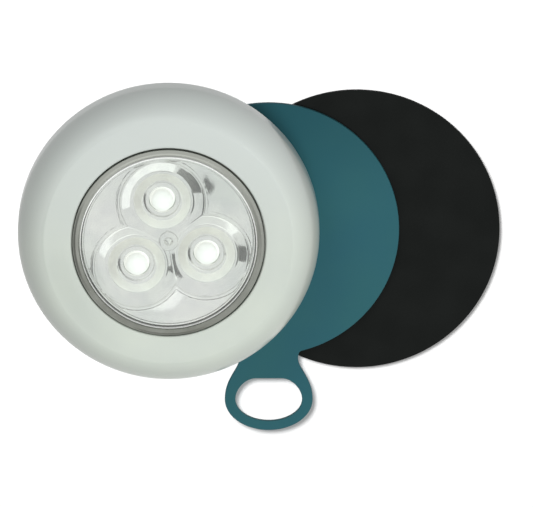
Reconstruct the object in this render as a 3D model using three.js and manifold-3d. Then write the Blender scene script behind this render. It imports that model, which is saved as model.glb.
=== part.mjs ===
// A battery-powered push lamp for indoors, with a hanger disc and a wall pad, fanned out side by side.
// Millimetres. +X is right, +Z is up and the front faces -Y. The origin is the centre of the pad's back.
// Each sub-part is drawn face up, with +Z towards the viewer, and the groups at the end turn it upright.
import * as THREE from 'three';
import { mergeVertices } from 'three/addons/utils/BufferGeometryUtils.js';
import Module from 'manifold-3d';

const wasm = await Module();
wasm.setup();

// Clearances that neighbours share
const seatGap = 0.3;
const cutOverrun = 1;
const weldDistance = 0.01;

// Facets round a turned form
const wideSides = 60;
const ringSides = 48;
const bowlSides = 28;
const smallSides = 16;
const holeSides = 10;
const cellSides = 20;
const outlineSteps = 10;
const arcSteps = 4;
const cornerSteps = 1;
const edgeSteps = 2;
const shoulderSteps = 7;
const skirtSteps = 3;
const domeSteps = 4;
const lowerBowlSteps = 3;
const upperBowlSteps = 4;
const wireSides = 5;
const wireStepsPerTurn = 8;

// Wall pad: magnetic rubber on an adhesive film
const padRadius = 32.2;
const padThickness = 1.6;
const padEdgeBevel = 0.25;
const filmThickness = 0.4;
const filmInset = 0.7;

// Hanger disc: coated sheet steel with a loop below it
const hangerRadius = 29.3;
const hangerThickness = 1.2;
const hangerEdgeBevel = 0.2;
const neckHalfWidth = 6.6;
const neckLength = 0.9;
const neckFillet = 0.8;
const loopHalfWidth = 9.9;
const loopBelowDisc = 10.4;
const loopHalfHeight = 7.2;
const loopSideBand = 2.4;
const loopEndBand = 2.2;
const holeBelowDisc = 5.5;
const holeFlatHalf = 2.9;
const holeCornerShare = 0.5;

// How far the three pieces are fanned out, axis to axis
const hangerShift = 19.7;
const hangerRise = 0.4;
const lampShift = 22.4;
const lampRise = 3.4;

// Lamp body
const coverOverhang = 3.75;
const coverWall = 1.8;
const bezelBelowLens = 0.7;
const bezelEdgeDrop = 0.25;
const bezelEdgeRound = 0.5;
const shoulderWidth = 6;
const shoulderHeight = 8.5;
const shoulderBulgeShare = 0.65;
const bandHeight = 3.5;
const skirtHeight = 3.3;
const skirtWidth = 2.85;
const lipDepth = 1.9;

// Rear casing
const casingWall = 1.6;
const bayClearance = 0.6;
const casingEdgeBevel = 0.4;
const trayThickness = 0.9;
const bayWall = 1;
const bayWallAboveLugs = 1.3;
const cradleThickness = 0.8;
const cradleReach = 2.4;
const endWallThickness = 1.2;

// Bayonet battery cover
const coverThickness = 1.7;
const coverEdgeBevel = 0.3;
const rimLipWidth = 1.3;
const lugThickness = 1;
const lugRoot = 1.2;
const lugHalfAngle = THREE.MathUtils.degToRad(14);
const notchSpare = THREE.MathUtils.degToRad(2);
const twistAngle = THREE.MathUtils.degToRad(30);
const gripInset = 4.8;
const gripHalfWidth = 1.9;
const gripDepth = 0.9;
const gripHalfAngle = THREE.MathUtils.degToRad(24);

// Base magnet
const magnetRadius = 9;
const magnetThickness = 1;
const magnetBevel = 0.2;

// Cells, which lie side by side along X
const cellRadius = 5.25;
const cellLength = 44.5;
const cellPitch = 10.9;
const nubRadius = 1.9;
const nubHeight = 0.8;
const cellEdgeRound = 0.4;
const cellCount = 3;

// Cell contacts
const plateThickness = 0.4;
const plateHalfWidth = 3;
const plateHeight = 7;
const tabWidth = 2;
const tabRise = 0.9;
const contactCoilWide = 3;
const contactCoilTip = 1.6;
const contactCoilTurns = 2.5;
const contactSpringLength = 2.2;
const coilWireRadius = 0.25;

// Screws and their columns
const screwAngle = THREE.MathUtils.degToRad(60);
const screwRadius = 1.1;
const screwTipMargin = 0.45;
const screwHeadRadius = 1.9;
const screwHeadHeight = 1.2;
const screwSlotWidth = 0.5;
const screwSlotDepth = 0.5;
const screwFit = 0.2;
const columnRadius = 2.9;
const columnReach = 5.8;
const counterboreDepth = 2.6;
const bossRadius = 2.2;
const bossClearance = 0.5;
const columnInset = 2.5;

// Return springs in their wells
const springInset = 1.75;
const springRadius = 1.35;
const springTurns = 4;
const wellRadius = 2.1;
const wellWall = 0.8;
const wellDepth = 4.7;

// Push button: carrier, lens, reflector and board
const pressTravel = 0.9;
const buttonClearance = 0.4;
const carrierRimWidth = 1.2;
const carrierRimBelowLens = 0.15;
const carrierRimBevel = 0.25;
const flangeWidth = 1.9;
const flangeThickness = 1.2;
const lensCrown = 0.4;
const lensThickness = 1.2;
const lensEdgeBevel = 0.25;
const lensCrownShares = [0.8, 0.4];
const lensLedge = 0.4;
const reflectorLedge = 0.8;
const boardLedge = 0.9;
const boardLedgeThickness = 0.7;

// Reflector
const plateWall = 0.9;
const dishRimHeight = 0.5;
const dishRimWall = 0.5;
const bowlTurn = THREE.MathUtils.degToRad(8.8);
const bowlFloorRadius = 4.5;
const lowerBowlReach = 1.9;
const bowlStepWidth = 0.5;
const upperBowlReach = 2.5;
const bowlDepth = 3.2;
const bowlStepShare = 0.48;
const bowlEdgeLand = 0.4;
const bossTopRadius = 2.2;
const bossDimpleRadius = 1;
const bossDimpleDepth = 0.5;
const pegInset = 4.1;
const pegRadius = 1;
const pegShoulder = 0.7;

// Diodes, resistor and board
const diodeCount = 3;
const diodeRadius = 2.5;
const diodeHeight = 4.3;
const domeShare = 0.8;
const diodeFlangeRadius = 2.9;
const diodeFlangeHeight = 0.8;
const diodeLift = 0.15;
const legWidth = 0.5;
const legSpread = 1.27;
const legTail = 0.9;
const boardThickness = 1;
const resistorRadius = 0.6;
const resistorHalfLength = 1.7;
const resistorShares = [0.555, -0.655];

// Push switch
const switchSize = 7;
const switchHeight = 1.5;
const switchCorner = 0.8;
const plungerRadius = 1.5;
const plungerSpare = 0.1;
const plungerInset = 0.2;
const plungerFloor = 0.25;

// Leads
const leadRadius = 0.4;
const leadSides = 6;
const leadSteps = 14;
const straightLeadSteps = 1;
const leadBend = 1.6;
const leadTail = 0.4;
const channelDepth = 0.5;
const redHoleShares = [-0.67, 0.54];
const greyHoleShares = [-0.16, -0.81];

// Heights above the lamp's rear face, from the back to the front
const lugTop = coverThickness + seatGap + lugThickness;
const cellAxis = coverThickness + seatGap + cellRadius;
const trayBottom = cellAxis + cellRadius + seatGap;
const trayTop = trayBottom + trayThickness;
const switchBottom = trayTop + seatGap;
const switchTop = switchBottom + switchHeight;
const plungerTop = switchTop + pressTravel + plungerSpare;
const boardBottom = plungerTop + seatGap;
const boardTop = boardBottom + boardThickness;
const ledgeTop = boardBottom - seatGap;
const carrierBottom = ledgeTop - boardLedgeThickness;
const bowlUnderside = boardTop + seatGap;
const bowlFloor = bowlUnderside + plateWall;
const bowlStep = bowlFloor + bowlDepth * (1 - bowlStepShare);
const landTop = bowlFloor + bowlDepth;
const landBottom = landTop - plateWall;
const dishRimTop = landTop + dishRimHeight;
const lensBottom = dishRimTop + seatGap;
const lensEdgeTop = lensBottom + lensThickness;
const bodyHeight = lensEdgeTop + lensCrown;
const bezelTop = bodyHeight - bezelBelowLens;
const lipBottom = bezelTop - bezelEdgeDrop - lipDepth;
const flangeTop = lipBottom - seatGap;
const shoulderBase = bezelTop - shoulderHeight;
const bandBase = shoulderBase - bandHeight;
const coverBottom = bandBase - skirtHeight;
const columnBase = trayBottom - columnReach;
const screwSeat = columnBase + counterboreDepth;
const screwTip = lipBottom - screwTipMargin;
const screwLength = screwTip - (screwSeat - seatGap);

// Radii and reaches, worked outwards from the cells' bay
const rowReach = (cellPitch * (cellCount - 1)) / 2;
const bayOuter = rowReach + cellRadius + seatGap + bayWall;
const plateInner = (cellLength + contactSpringLength) / 2 + seatGap;
const plateMiddle = plateInner + plateThickness / 2;
const plateCorner = Math.hypot(plateInner + plateThickness, rowReach + plateHalfWidth);
const springCircle = bayOuter + wellRadius;
const carrierRadius = springCircle + springInset;
const flangeRadius = carrierRadius + flangeWidth;
const openingRadius = carrierRadius + buttonClearance;
const bossReach = flangeRadius + bossClearance + bossRadius;
const casingBore = Math.max(bossReach + columnInset, plateCorner + bayClearance);
const screwCircle = casingBore - columnInset;
const casingRadius = casingBore + casingWall;
const bodyRadius = casingRadius + coverOverhang;
const trayRadius = bodyRadius - coverWall - seatGap;
const rimBore = casingBore - rimLipWidth;
const coverRadius = rimBore - seatGap;
const lugRadius = casingBore - seatGap;
const gripRadius = coverRadius - gripInset;
const lensPocketRadius = carrierRadius - carrierRimWidth;
const lensRadius = lensPocketRadius - seatGap;
const reflectorPocketRadius = lensPocketRadius - lensLedge;
const reflectorRadius = reflectorPocketRadius - seatGap;
const boardPocketRadius = reflectorPocketRadius - reflectorLedge;
const boardRadius = boardPocketRadius - seatGap;
const innerBowlRadius = bowlFloorRadius + lowerBowlReach;
const bowlStepRadius = innerBowlRadius + bowlStepWidth;
const bowlRadius = bowlStepRadius + upperBowlReach;
const bowlCircle = reflectorRadius - dishRimWall - bowlEdgeLand - bowlRadius;
const pegCircle = boardRadius - pegInset;
const neckDrop = hangerRadius + neckLength;
const loopDrop = hangerRadius + loopBelowDisc;
const loopHoleTop = hangerRadius + holeBelowDisc;

// Closed solids from three.js shapes

function signedVolume(position, triangles) {
  const [a, b, c] = [new THREE.Vector3(), new THREE.Vector3(), new THREE.Vector3()];
  let volume = 0;
  for (let i = 0; i < triangles.length; i += 3) {
    a.fromBufferAttribute(position, triangles[i]);
    b.fromBufferAttribute(position, triangles[i + 1]);
    c.fromBufferAttribute(position, triangles[i + 2]);
    volume += a.dot(b.cross(c)) / 6;
  }
  return volume;
}

function toSolid(geometry) {
  const bare = geometry.clone();
  bare.deleteAttribute('normal');
  bare.deleteAttribute('uv');
  const merged = mergeVertices(bare);
  const corners = merged.index.array;
  const triangles = [];
  for (let i = 0; i < corners.length; i += 3) {
    const [a, b, c] = corners.slice(i, i + 3);
    if (a !== b && b !== c && c !== a) triangles.push(a, b, c);
  }
  if (signedVolume(merged.attributes.position, triangles) < 0) triangles.reverse();
  const vertProperties = new Float32Array(merged.attributes.position.array);
  const mesh = new wasm.Mesh({ numProp: 3, vertProperties, triVerts: new Uint32Array(triangles) });
  return new wasm.Manifold(mesh);
}

function toGeometry(solid) {
  const mesh = solid.getMesh();
  const geometry = new THREE.BufferGeometry();
  const place = new THREE.BufferAttribute(new Float32Array(mesh.vertProperties), mesh.numProp);
  geometry.setAttribute('position', place);
  geometry.setIndex(new THREE.BufferAttribute(new Uint32Array(mesh.triVerts), 1));
  geometry.computeVertexNormals();
  return geometry;
}

function joined(solids) {
  return solids.reduce((whole, solid) => whole.add(solid));
}

function cutFrom(solid, tools) {
  return tools.reduce((rest, tool) => rest.subtract(tool), solid);
}

// A turned form about +Z from [radius, height] pairs that close on the axis or on themselves
function turned(profile, sides) {
  const points = profile.map(([radius, height]) => new THREE.Vector2(radius, height));
  const closed = profile[0][0] === 0 ? points : [...points, points[0]];
  return toSolid(new THREE.LatheGeometry(closed, sides).rotateX(Math.PI / 2));
}

// A round rod from one height to another, away from the axis if moved there
function rod(radius, from, to, x = 0, y = 0, sides = holeSides) {
  const geometry = new THREE.CylinderGeometry(radius, radius, to - from, sides).rotateX(Math.PI / 2);
  return toSolid(geometry.translate(x, y, (from + to) / 2));
}

function block(width, depth, from, to, x = 0, y = 0) {
  const geometry = new THREE.BoxGeometry(width, depth, to - from);
  return toSolid(geometry.translate(x, y, (from + to) / 2));
}

// The points of an outline, without the doubles where its stretches meet
function outlinePoints(path, curveSegments) {
  const points = path.getPoints(curveSegments);
  return points.filter((point, i) => point.distanceTo(points[(i + 1) % points.length]) > weldDistance);
}

// A sheet cut to an outline, with a small bevel along its edges
function sheet(outline, thickness, bevel, curveSegments, holeSegments = curveSegments) {
  const points = outlinePoints(outline, curveSegments);
  const clean = new THREE.Shape(THREE.ShapeUtils.isClockWise(points) ? points.reverse() : points);
  clean.holes = outline.holes.map((hole) => new THREE.Path(outlinePoints(hole, holeSegments)));
  const options = { bevelEnabled: bevel > 0, bevelSegments: 1, depth: thickness - 2 * bevel };
  options.bevelThickness = bevel;
  options.bevelSize = bevel;
  options.bevelOffset = -bevel;
  return toSolid(new THREE.ExtrudeGeometry(clean, options).translate(0, 0, bevel));
}

// A sector of a ring between two radii and two heights, about the direction at middle
function sector(inner, outer, from, to, middle, halfAngle) {
  const outline = new THREE.Shape();
  outline.absarc(0, 0, outer, middle - halfAngle, middle + halfAngle, false);
  outline.absarc(0, 0, inner, middle + halfAngle, middle - halfAngle, true);
  return sheet(outline, to - from, 0, arcSteps).translate([0, 0, from]);
}

// [radius, height] pairs along an ellipse from one angle to another
function ellipsePoints(centre, width, height, fromAngle, toAngle, steps) {
  return Array.from({ length: steps + 1 }, (_, i) => {
    const angle = fromAngle + ((toAngle - fromAngle) * i) / steps;
    return [centre[0] + width * Math.cos(angle), centre[1] + height * Math.sin(angle)];
  });
}

// A round wire wound about +Z, with its radius and height worked out along the way
function woundWire(radiusAt, heightAt, turns, wireRadius, sides = wireSides) {
  const steps = Math.ceil(turns * wireStepsPerTurn);
  const points = [];
  for (let i = 0; i <= steps; i += 1) {
    const angle = (2 * Math.PI * turns * i) / steps;
    for (let j = 0; j < sides; j += 1) {
      const around = (2 * Math.PI * j) / sides;
      const radius = radiusAt(i / steps) + wireRadius * Math.cos(around);
      const height = heightAt(i / steps) + wireRadius * Math.sin(around);
      points.push(radius * Math.cos(angle), radius * Math.sin(angle), height);
    }
  }
  return toSolid(tubeOver(points, sides));
}

// Skins rings of points into one closed tube
function tubeOver(points, sides) {
  const rings = points.length / (3 * sides);
  const index = [];
  for (let i = 0; i < rings - 1; i += 1) {
    for (let j = 0; j < sides; j += 1) {
      const [a, b] = [i * sides + j, i * sides + ((j + 1) % sides)];
      index.push(a, b, b + sides, a, b + sides, a + sides);
    }
  }
  const last = (rings - 1) * sides;
  for (let j = 1; j < sides - 1; j += 1) {
    index.push(0, j + 1, j, last, last + j, last + j + 1);
  }
  const geometry = new THREE.BufferGeometry();
  geometry.setAttribute('position', new THREE.Float32BufferAttribute(points, 3));
  geometry.setIndex(index);
  return geometry;
}

function material(color, roughness, metalness = 0) {
  return new THREE.MeshStandardMaterial({ color, roughness, metalness });
}

function piece(name, solid, finish) {
  const mesh = new THREE.Mesh(toGeometry(solid), finish);
  mesh.name = name;
  return mesh;
}

// Finishes
const silverPaint = material('#d6ddd3', 0.45, 0.25);
const teal = material('#34606a', 0.5, 0.1);
const blackRubber = material('#212322', 0.9);
const smokedRim = material('#6f6e66', 0.3, 0.2);
const clearAcrylic = material('#eef4f2', 0.05);
const mirror = material('#e4e6e8', 0.08, 1);
const diodeGlow = material('#fffbe6', 0.3);
const greenBoard = material('#2f6b45', 0.5);
const greyPlastic = material('#9fa6a0', 0.6);
const darkPlastic = material('#2a2c2c', 0.6);
const nickel = material('#b9bcc0', 0.3, 1);
const springSteel = material('#a7abb0', 0.35, 1);
const cellJacket = material('#3c4a58', 0.4, 0.3);
const magnetPlating = material('#9da1a6', 0.3, 1);
const adhesive = material('#d9d3c2', 0.7);
const redLead = material('#a8231f', 0.5);
const blackLead = material('#1b1b1c', 0.5);
const greyLead = material('#7f8284', 0.5);
const resistorBody = material('#c9b48a', 0.5);

// Wall pad and its film
function mountingPad() {
  const outline = new THREE.Shape().absarc(0, 0, padRadius, 0, 2 * Math.PI, false);
  return sheet(outline, padThickness, padEdgeBevel, wideSides / 2);
}

function padFilm() {
  return rod(padRadius - filmInset, 0, filmThickness, 0, 0, wideSides);
}

// Hanger disc: the outline runs down the right of the neck, round the loop and back over the disc
function hangerOutline() {
  const rootX = neckHalfWidth + neckFillet;
  const rootY = Math.sqrt(hangerRadius ** 2 - rootX ** 2);
  const rootAngle = Math.atan2(-rootY, rootX);
  const easeDrop = (loopDrop - neckDrop) / 2;
  const neckTop = Math.sqrt(hangerRadius ** 2 - neckHalfWidth ** 2);
  const outline = new THREE.Shape();
  outline.moveTo(rootX, -rootY);
  outline.quadraticCurveTo(neckHalfWidth, -neckTop, neckHalfWidth, -neckDrop);
  const [easeTop, easeBottom] = [-neckDrop - easeDrop / 2, -loopDrop + easeDrop];
  outline.bezierCurveTo(neckHalfWidth, easeTop, loopHalfWidth, easeBottom, loopHalfWidth, -loopDrop);
  outline.absellipse(0, -loopDrop, loopHalfWidth, loopHalfHeight, 0, -Math.PI, true);
  outline.bezierCurveTo(-loopHalfWidth, easeBottom, -neckHalfWidth, easeTop, -neckHalfWidth, -neckDrop);
  outline.quadraticCurveTo(-neckHalfWidth, -neckTop, -rootX, -rootY);
  outline.absarc(0, 0, hangerRadius, Math.PI - rootAngle, Math.PI / 2, true);
  outline.absarc(0, 0, hangerRadius, Math.PI / 2, rootAngle, true);
  return outline;
}

// The hole in the loop: flat above, with wide round corners, and half an ellipse below
function loopHole() {
  const halfWidth = loopHalfWidth - loopSideBand;
  const halfHeight = loopHalfHeight - loopEndBand;
  const sideHandle = -loopDrop + (loopDrop - loopHoleTop) * holeCornerShare;
  const topHandle = holeFlatHalf + (halfWidth - holeFlatHalf) * holeCornerShare;
  const hole = new THREE.Path();
  hole.moveTo(halfWidth, -loopDrop);
  hole.absellipse(0, -loopDrop, halfWidth, halfHeight, 0, -Math.PI, true);
  hole.bezierCurveTo(-halfWidth, sideHandle, -topHandle, -loopHoleTop, -holeFlatHalf, -loopHoleTop);
  hole.lineTo(holeFlatHalf, -loopHoleTop);
  hole.bezierCurveTo(topHandle, -loopHoleTop, halfWidth, sideHandle, halfWidth, -loopDrop);
  return hole;
}

function hangerDisc() {
  const outline = hangerOutline();
  outline.holes.push(loopHole());
  return sheet(outline, hangerThickness, hangerEdgeBevel, outlineSteps);
}

// [radius, height] pairs down the front cover's shoulder. Its curve runs a little straighter than an
// ellipse: its middle stands out by the bulge share of the width and of the height.
function shoulderPoints(width, height, steps) {
  const power = (2 * Math.log(shoulderBulgeShare)) / Math.log(1 / 2);
  return Array.from({ length: steps + 1 }, (_, i) => {
    const angle = (Math.PI * i) / (2 * steps);
    const [across, up] = [Math.sin(angle) ** power, Math.max(Math.cos(angle), 0) ** power];
    return [bodyRadius - shoulderWidth + width * across, shoulderBase + height * up];
  });
}

// Front cover: a rounded ring with a lip at the opening and four screw bosses inside
function coverOuterPoints() {
  const edge = [openingRadius + bezelEdgeRound, bezelTop - bezelEdgeDrop - bezelEdgeRound];
  const skirt = [bodyRadius - skirtWidth, bandBase];
  return [
    ...ellipsePoints(edge, bezelEdgeRound, bezelEdgeRound, Math.PI, Math.PI / 2, edgeSteps),
    ...shoulderPoints(shoulderWidth, shoulderHeight, shoulderSteps),
    ...ellipsePoints(skirt, skirtWidth, skirtHeight, 0, -Math.PI / 2, skirtSteps),
  ];
}

function coverInnerPoints() {
  const inner = shoulderPoints(shoulderWidth - coverWall, shoulderHeight - coverWall, skirtSteps);
  const bore = casingRadius + seatGap;
  return [
    [bore, coverBottom],
    [bore, coverBottom + coverWall],
    [bodyRadius - coverWall, bandBase],
    ...inner.reverse(),
    [openingRadius + flangeWidth, lipBottom],
    [openingRadius, lipBottom],
  ];
}

function screwPlaces() {
  const angles = [screwAngle, Math.PI - screwAngle, Math.PI + screwAngle, -screwAngle];
  return angles.map((angle) => [screwCircle * Math.cos(angle), screwCircle * Math.sin(angle)]);
}

function frontCover() {
  const shell = turned([...coverOuterPoints(), ...coverInnerPoints()], ringSides);
  const bossBase = trayTop + seatGap;
  const bossTop = lipBottom + coverWall / 2;
  const bosses = screwPlaces().map(([x, y]) => rod(bossRadius, bossBase, bossTop, x, y));
  const pilots = screwPlaces().map(([x, y]) =>
    rod(screwRadius + screwFit, bossBase - cutOverrun, screwTip + seatGap, x, y));
  return cutFrom(joined([shell, ...bosses]), pilots);
}

// Rear casing: a cup with a tray, battery bays, screw columns and spring wells
function casingShell() {
  const profile = [
    [0, trayBottom],
    [casingBore, trayBottom],
    [casingBore, coverThickness],
    [rimBore, coverThickness],
    [rimBore, 0],
    [casingRadius - casingEdgeBevel, 0],
    [casingRadius, casingEdgeBevel],
    [casingRadius, trayBottom],
    [trayRadius, trayBottom],
    [trayRadius, trayTop],
    [0, trayTop],
  ];
  return turned(profile, ringSides);
}

function cellPlaces() {
  return Array.from({ length: cellCount }, (_, i) => rowReach - i * cellPitch);
}

function bayWalls() {
  const base = lugTop + bayWallAboveLugs;
  const sideY = bayOuter - bayWall / 2;
  const sides = [sideY, -sideY].map((y) => block(2 * casingRadius, bayWall, base, trayTop, 0, y));
  const endX = plateInner + plateThickness + seatGap + endWallThickness / 2;
  const ends = [endX, -endX].map((x) => block(endWallThickness, 2 * casingRadius, base, trayTop, x, 0));
  const cradleLength = 2 * (plateInner - plateHalfWidth);
  const between = cellPlaces().slice(1).map((y) => y + cellPitch / 2);
  const cradles = between.map((y) =>
    block(cradleLength, cradleThickness, trayBottom - cradleReach, trayTop, 0, y));
  return [...sides, ...ends, ...cradles];
}

function wellPlaces() {
  return [[0, springCircle], [0, -springCircle]];
}

function casingColumns() {
  const columns = screwPlaces().map(([x, y]) => rod(columnRadius, columnBase, trayTop, x, y));
  const wellBase = trayTop - wellDepth - wellWall;
  const wells = wellPlaces().map(([x, y]) => rod(wellRadius + wellWall, wellBase, trayTop, x, y));
  return [...columns, ...wells];
}

function casingHoles() {
  const shanks = screwPlaces().map(([x, y]) =>
    rod(screwRadius + screwFit, columnBase - cutOverrun, trayTop + cutOverrun, x, y));
  const heads = screwPlaces().map(([x, y]) =>
    rod(screwHeadRadius + screwFit, columnBase - cutOverrun, screwSeat, x, y));
  const wellFloor = trayTop - wellDepth;
  const wells = wellPlaces().map(([x, y]) => rod(wellRadius, wellFloor, trayTop + cutOverrun, x, y));
  return [...shanks, ...heads, ...wells];
}

// The rim's notches, where the cover's lugs go in before it is turned
function rimNotches() {
  const half = lugHalfAngle + notchSpare;
  return lugAngles().map((angle) =>
    sector(rimBore - cutOverrun, lugRadius + 2 * seatGap, -cutOverrun, coverThickness + seatGap,
      angle + twistAngle, half));
}

// Slots for the two solder tabs and channels for the leads in the tray
function trayCuts() {
  const slotSize = [plateThickness + 2 * seatGap, tabWidth + 2 * seatGap];
  const [from, to] = [trayBottom - cutOverrun, trayTop + cutOverrun];
  const slots = [[-1, 0], [1, cellCount - 1]].map(([side, row]) =>
    block(...slotSize, from, to, side * plateMiddle, cellPlaces()[row]));
  const channels = leadRoutes().map((route) => channelBetween(route.from, route.to));
  return [...slots, ...channels];
}

function channelBetween(from, to) {
  const [dx, dy] = [to[0] - from[0], to[1] - from[1]];
  const length = Math.hypot(dx, dy) + 2 * (leadRadius + seatGap);
  const geometry = new THREE.BoxGeometry(length, 2 * (leadRadius + seatGap), channelDepth + cutOverrun);
  geometry.rotateZ(Math.atan2(dy, dx));
  const middle = trayTop + (cutOverrun - channelDepth) / 2;
  return toSolid(geometry.translate((from[0] + to[0]) / 2, (from[1] + to[1]) / 2, middle));
}

function rearCasing() {
  const ribs = joined([...bayWalls(), ...casingColumns()]).intersect(insideCasing());
  const whole = casingShell().add(ribs);
  return cutFrom(whole, [...casingHoles(), ...rimNotches(), ...trayCuts()]);
}

// Keeps ribs and columns inside the cup's wall
function insideCasing() {
  return rod(casingRadius - casingWall / 2, coverThickness, trayTop, 0, 0, ringSides);
}

// Battery cover with lugs, finger recesses and a pocket for the magnet
function lugAngles() {
  return [Math.PI / 2, -Math.PI / 2];
}

function gripCut(middle) {
  const outline = new THREE.Shape();
  const [inner, outer] = [gripRadius - gripHalfWidth, gripRadius + gripHalfWidth];
  const [start, end] = [middle - gripHalfAngle, middle + gripHalfAngle];
  const [startX, startY] = [gripRadius * Math.cos(start), gripRadius * Math.sin(start)];
  const [endX, endY] = [gripRadius * Math.cos(end), gripRadius * Math.sin(end)];
  outline.absarc(0, 0, outer, start, end, false);
  outline.absarc(endX, endY, gripHalfWidth, end, end + Math.PI, false);
  outline.absarc(0, 0, inner, end, start, true);
  outline.absarc(startX, startY, gripHalfWidth, start + Math.PI, start + 2 * Math.PI, false);
  return sheet(outline, gripDepth + cutOverrun, 0, arcSteps).translate([0, 0, -cutOverrun]);
}

function batteryCover() {
  const bevel = coverEdgeBevel;
  const disc = turned([
    [0, 0], [coverRadius - bevel, 0], [coverRadius, bevel],
    [coverRadius, coverThickness], [0, coverThickness],
  ], ringSides);
  const lugRootRadius = coverRadius - lugRoot;
  const lugs = lugAngles().flatMap((angle) => [
    sector(lugRootRadius, coverRadius, coverThickness / 2, lugTop, angle, lugHalfAngle),
    sector(lugRootRadius, lugRadius, lugTop - lugThickness, lugTop, angle, lugHalfAngle),
  ]);
  const pocket = rod(magnetRadius + seatGap, -cutOverrun, magnetThickness + seatGap, 0, 0, bowlSides);
  return cutFrom(joined([disc, ...lugs]), [pocket, gripCut(0), gripCut(Math.PI)]);
}

function baseMagnet() {
  const [r, t, b] = [magnetRadius, magnetThickness, magnetBevel];
  return turned([[0, 0], [r - b, 0], [r, b], [r, t - b], [r - b, t], [0, t]], bowlSides);
}

// A cell about its own middle, with the nub towards +X
function cell() {
  const can = cellLength - nubHeight;
  const [r, e, back] = [cellRadius, cellEdgeRound, -cellLength / 2];
  const profile = [
    [0, back], [r - e, back], [r, back + e], [r, back + can - e], [r - e, back + can],
    [nubRadius, back + can], [nubRadius, cellLength / 2], [0, cellLength / 2],
  ];
  const points = profile.map(([radius, along]) => new THREE.Vector2(radius, along));
  return toSolid(new THREE.LatheGeometry(points, cellSides).rotateZ(-Math.PI / 2));
}

// Contacts, drawn flat with +Z towards the cell and turned upright when placed
function contactPlate(fromRow, toRow) {
  const width = toRow - fromRow + 2 * plateHalfWidth;
  return block(plateHeight, width, -plateThickness, 0, 0, (fromRow + toRow) / 2);
}

function contactCoil(y) {
  const radiusAt = (share) => contactCoilWide + (contactCoilTip - contactCoilWide) * share;
  const reach = contactSpringLength - coilWireRadius;
  const heightAt = (share) => reach * share - (plateThickness / 2) * (1 - share);
  const coil = toGeometry(woundWire(radiusAt, heightAt, contactCoilTurns, coilWireRadius));
  return toSolid(coil.translate(0, y, 0));
}

// The tab points up when the contact stands on the given side
function solderTab(y, side) {
  const reach = trayTop + tabRise - cellAxis;
  const geometry = new THREE.BoxGeometry(reach, tabWidth, plateThickness);
  return toSolid(geometry.translate((side * reach) / 2, y, -plateThickness / 2));
}

// Stands a contact on the right (side 1) or left (side -1), facing the cells
function placedContact(name, solid, side) {
  const mesh = piece(name, solid, nickel);
  mesh.rotation.y = (-side * Math.PI) / 2;
  mesh.position.set(side * plateInner, 0, cellAxis);
  return mesh;
}

function contactMeshes() {
  const [top, middle, bottom] = cellPlaces();
  const plus = contactPlate(top, top).add(solderTab(top, -1));
  const left = contactPlate(bottom, middle).add(contactCoil(middle));
  const right = contactPlate(middle, top).add(contactCoil(top));
  const minus = joined([contactPlate(bottom, bottom), contactCoil(bottom), solderTab(bottom, 1)]);
  return [
    placedContact('plus_contact', plus, -1),
    placedContact('bridge_contact_left', left, -1),
    placedContact('bridge_contact_right', right, 1),
    placedContact('minus_contact', minus, 1),
  ];
}

// Screws, drawn with the head's underside at zero and the shank along +Z
function screw() {
  const shankTip = screwLength - screwRadius;
  const body = turned([
    [0, -screwHeadHeight], [screwHeadRadius, -screwHeadHeight], [screwHeadRadius, 0],
    [screwRadius, 0], [screwRadius, shankTip], [0, screwLength],
  ], holeSides);
  const slotTop = screwSlotDepth - screwHeadHeight;
  const slotLength = 2 * (screwHeadRadius + cutOverrun);
  return body.subtract(block(slotLength, screwSlotWidth, -screwHeadHeight - cutOverrun, slotTop));
}

// Coil that lifts the button, from the well's floor to the carrier
function returnSpring() {
  const from = trayTop - wellDepth + seatGap + coilWireRadius;
  const to = carrierBottom - seatGap - coilWireRadius;
  return woundWire(() => springRadius, (share) => from + (to - from) * share, springTurns, coilWireRadius);
}

// Push switch on the tray, with the plunger in its well
function switchBody() {
  const half = switchSize / 2;
  const outline = new THREE.Shape();
  outline.absarc(half - switchCorner, half - switchCorner, switchCorner, 0, Math.PI / 2, false);
  outline.absarc(switchCorner - half, half - switchCorner, switchCorner, Math.PI / 2, Math.PI, false);
  outline.absarc(switchCorner - half, switchCorner - half, switchCorner, Math.PI, 1.5 * Math.PI, false);
  outline.absarc(half - switchCorner, switchCorner - half, switchCorner, 1.5 * Math.PI, 2 * Math.PI, false);
  const body = sheet(outline, switchHeight, 0, cornerSteps).translate([0, 0, switchBottom]);
  return body.subtract(rod(plungerRadius + seatGap, switchBottom + plungerFloor, switchTop + cutOverrun));
}

function switchPlunger() {
  return rod(plungerRadius, switchTop - plungerInset, plungerTop);
}

// Button carrier: a ring that holds the lens, the reflector and the board, with a flange under the lip
function buttonCarrier() {
  const rimTop = lensEdgeTop - carrierRimBelowLens;
  const bevel = carrierRimBevel;
  const lensSeat = lensBottom - seatGap;
  const reflectorSeat = landBottom - seatGap;
  return turned([
    [boardPocketRadius - boardLedge, carrierBottom],
    [carrierRadius, carrierBottom],
    [carrierRadius, flangeTop - flangeThickness],
    [carrierRadius + flangeWidth, flangeTop - flangeThickness],
    [carrierRadius + flangeWidth, flangeTop],
    [carrierRadius, flangeTop],
    [carrierRadius, rimTop - bevel],
    [carrierRadius - bevel, rimTop],
    [lensPocketRadius, rimTop],
    [lensPocketRadius, lensSeat],
    [reflectorPocketRadius, lensSeat],
    [reflectorPocketRadius, reflectorSeat],
    [boardPocketRadius, reflectorSeat],
    [boardPocketRadius, ledgeTop],
    [boardPocketRadius - boardLedge, ledgeTop],
  ], ringSides);
}

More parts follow.
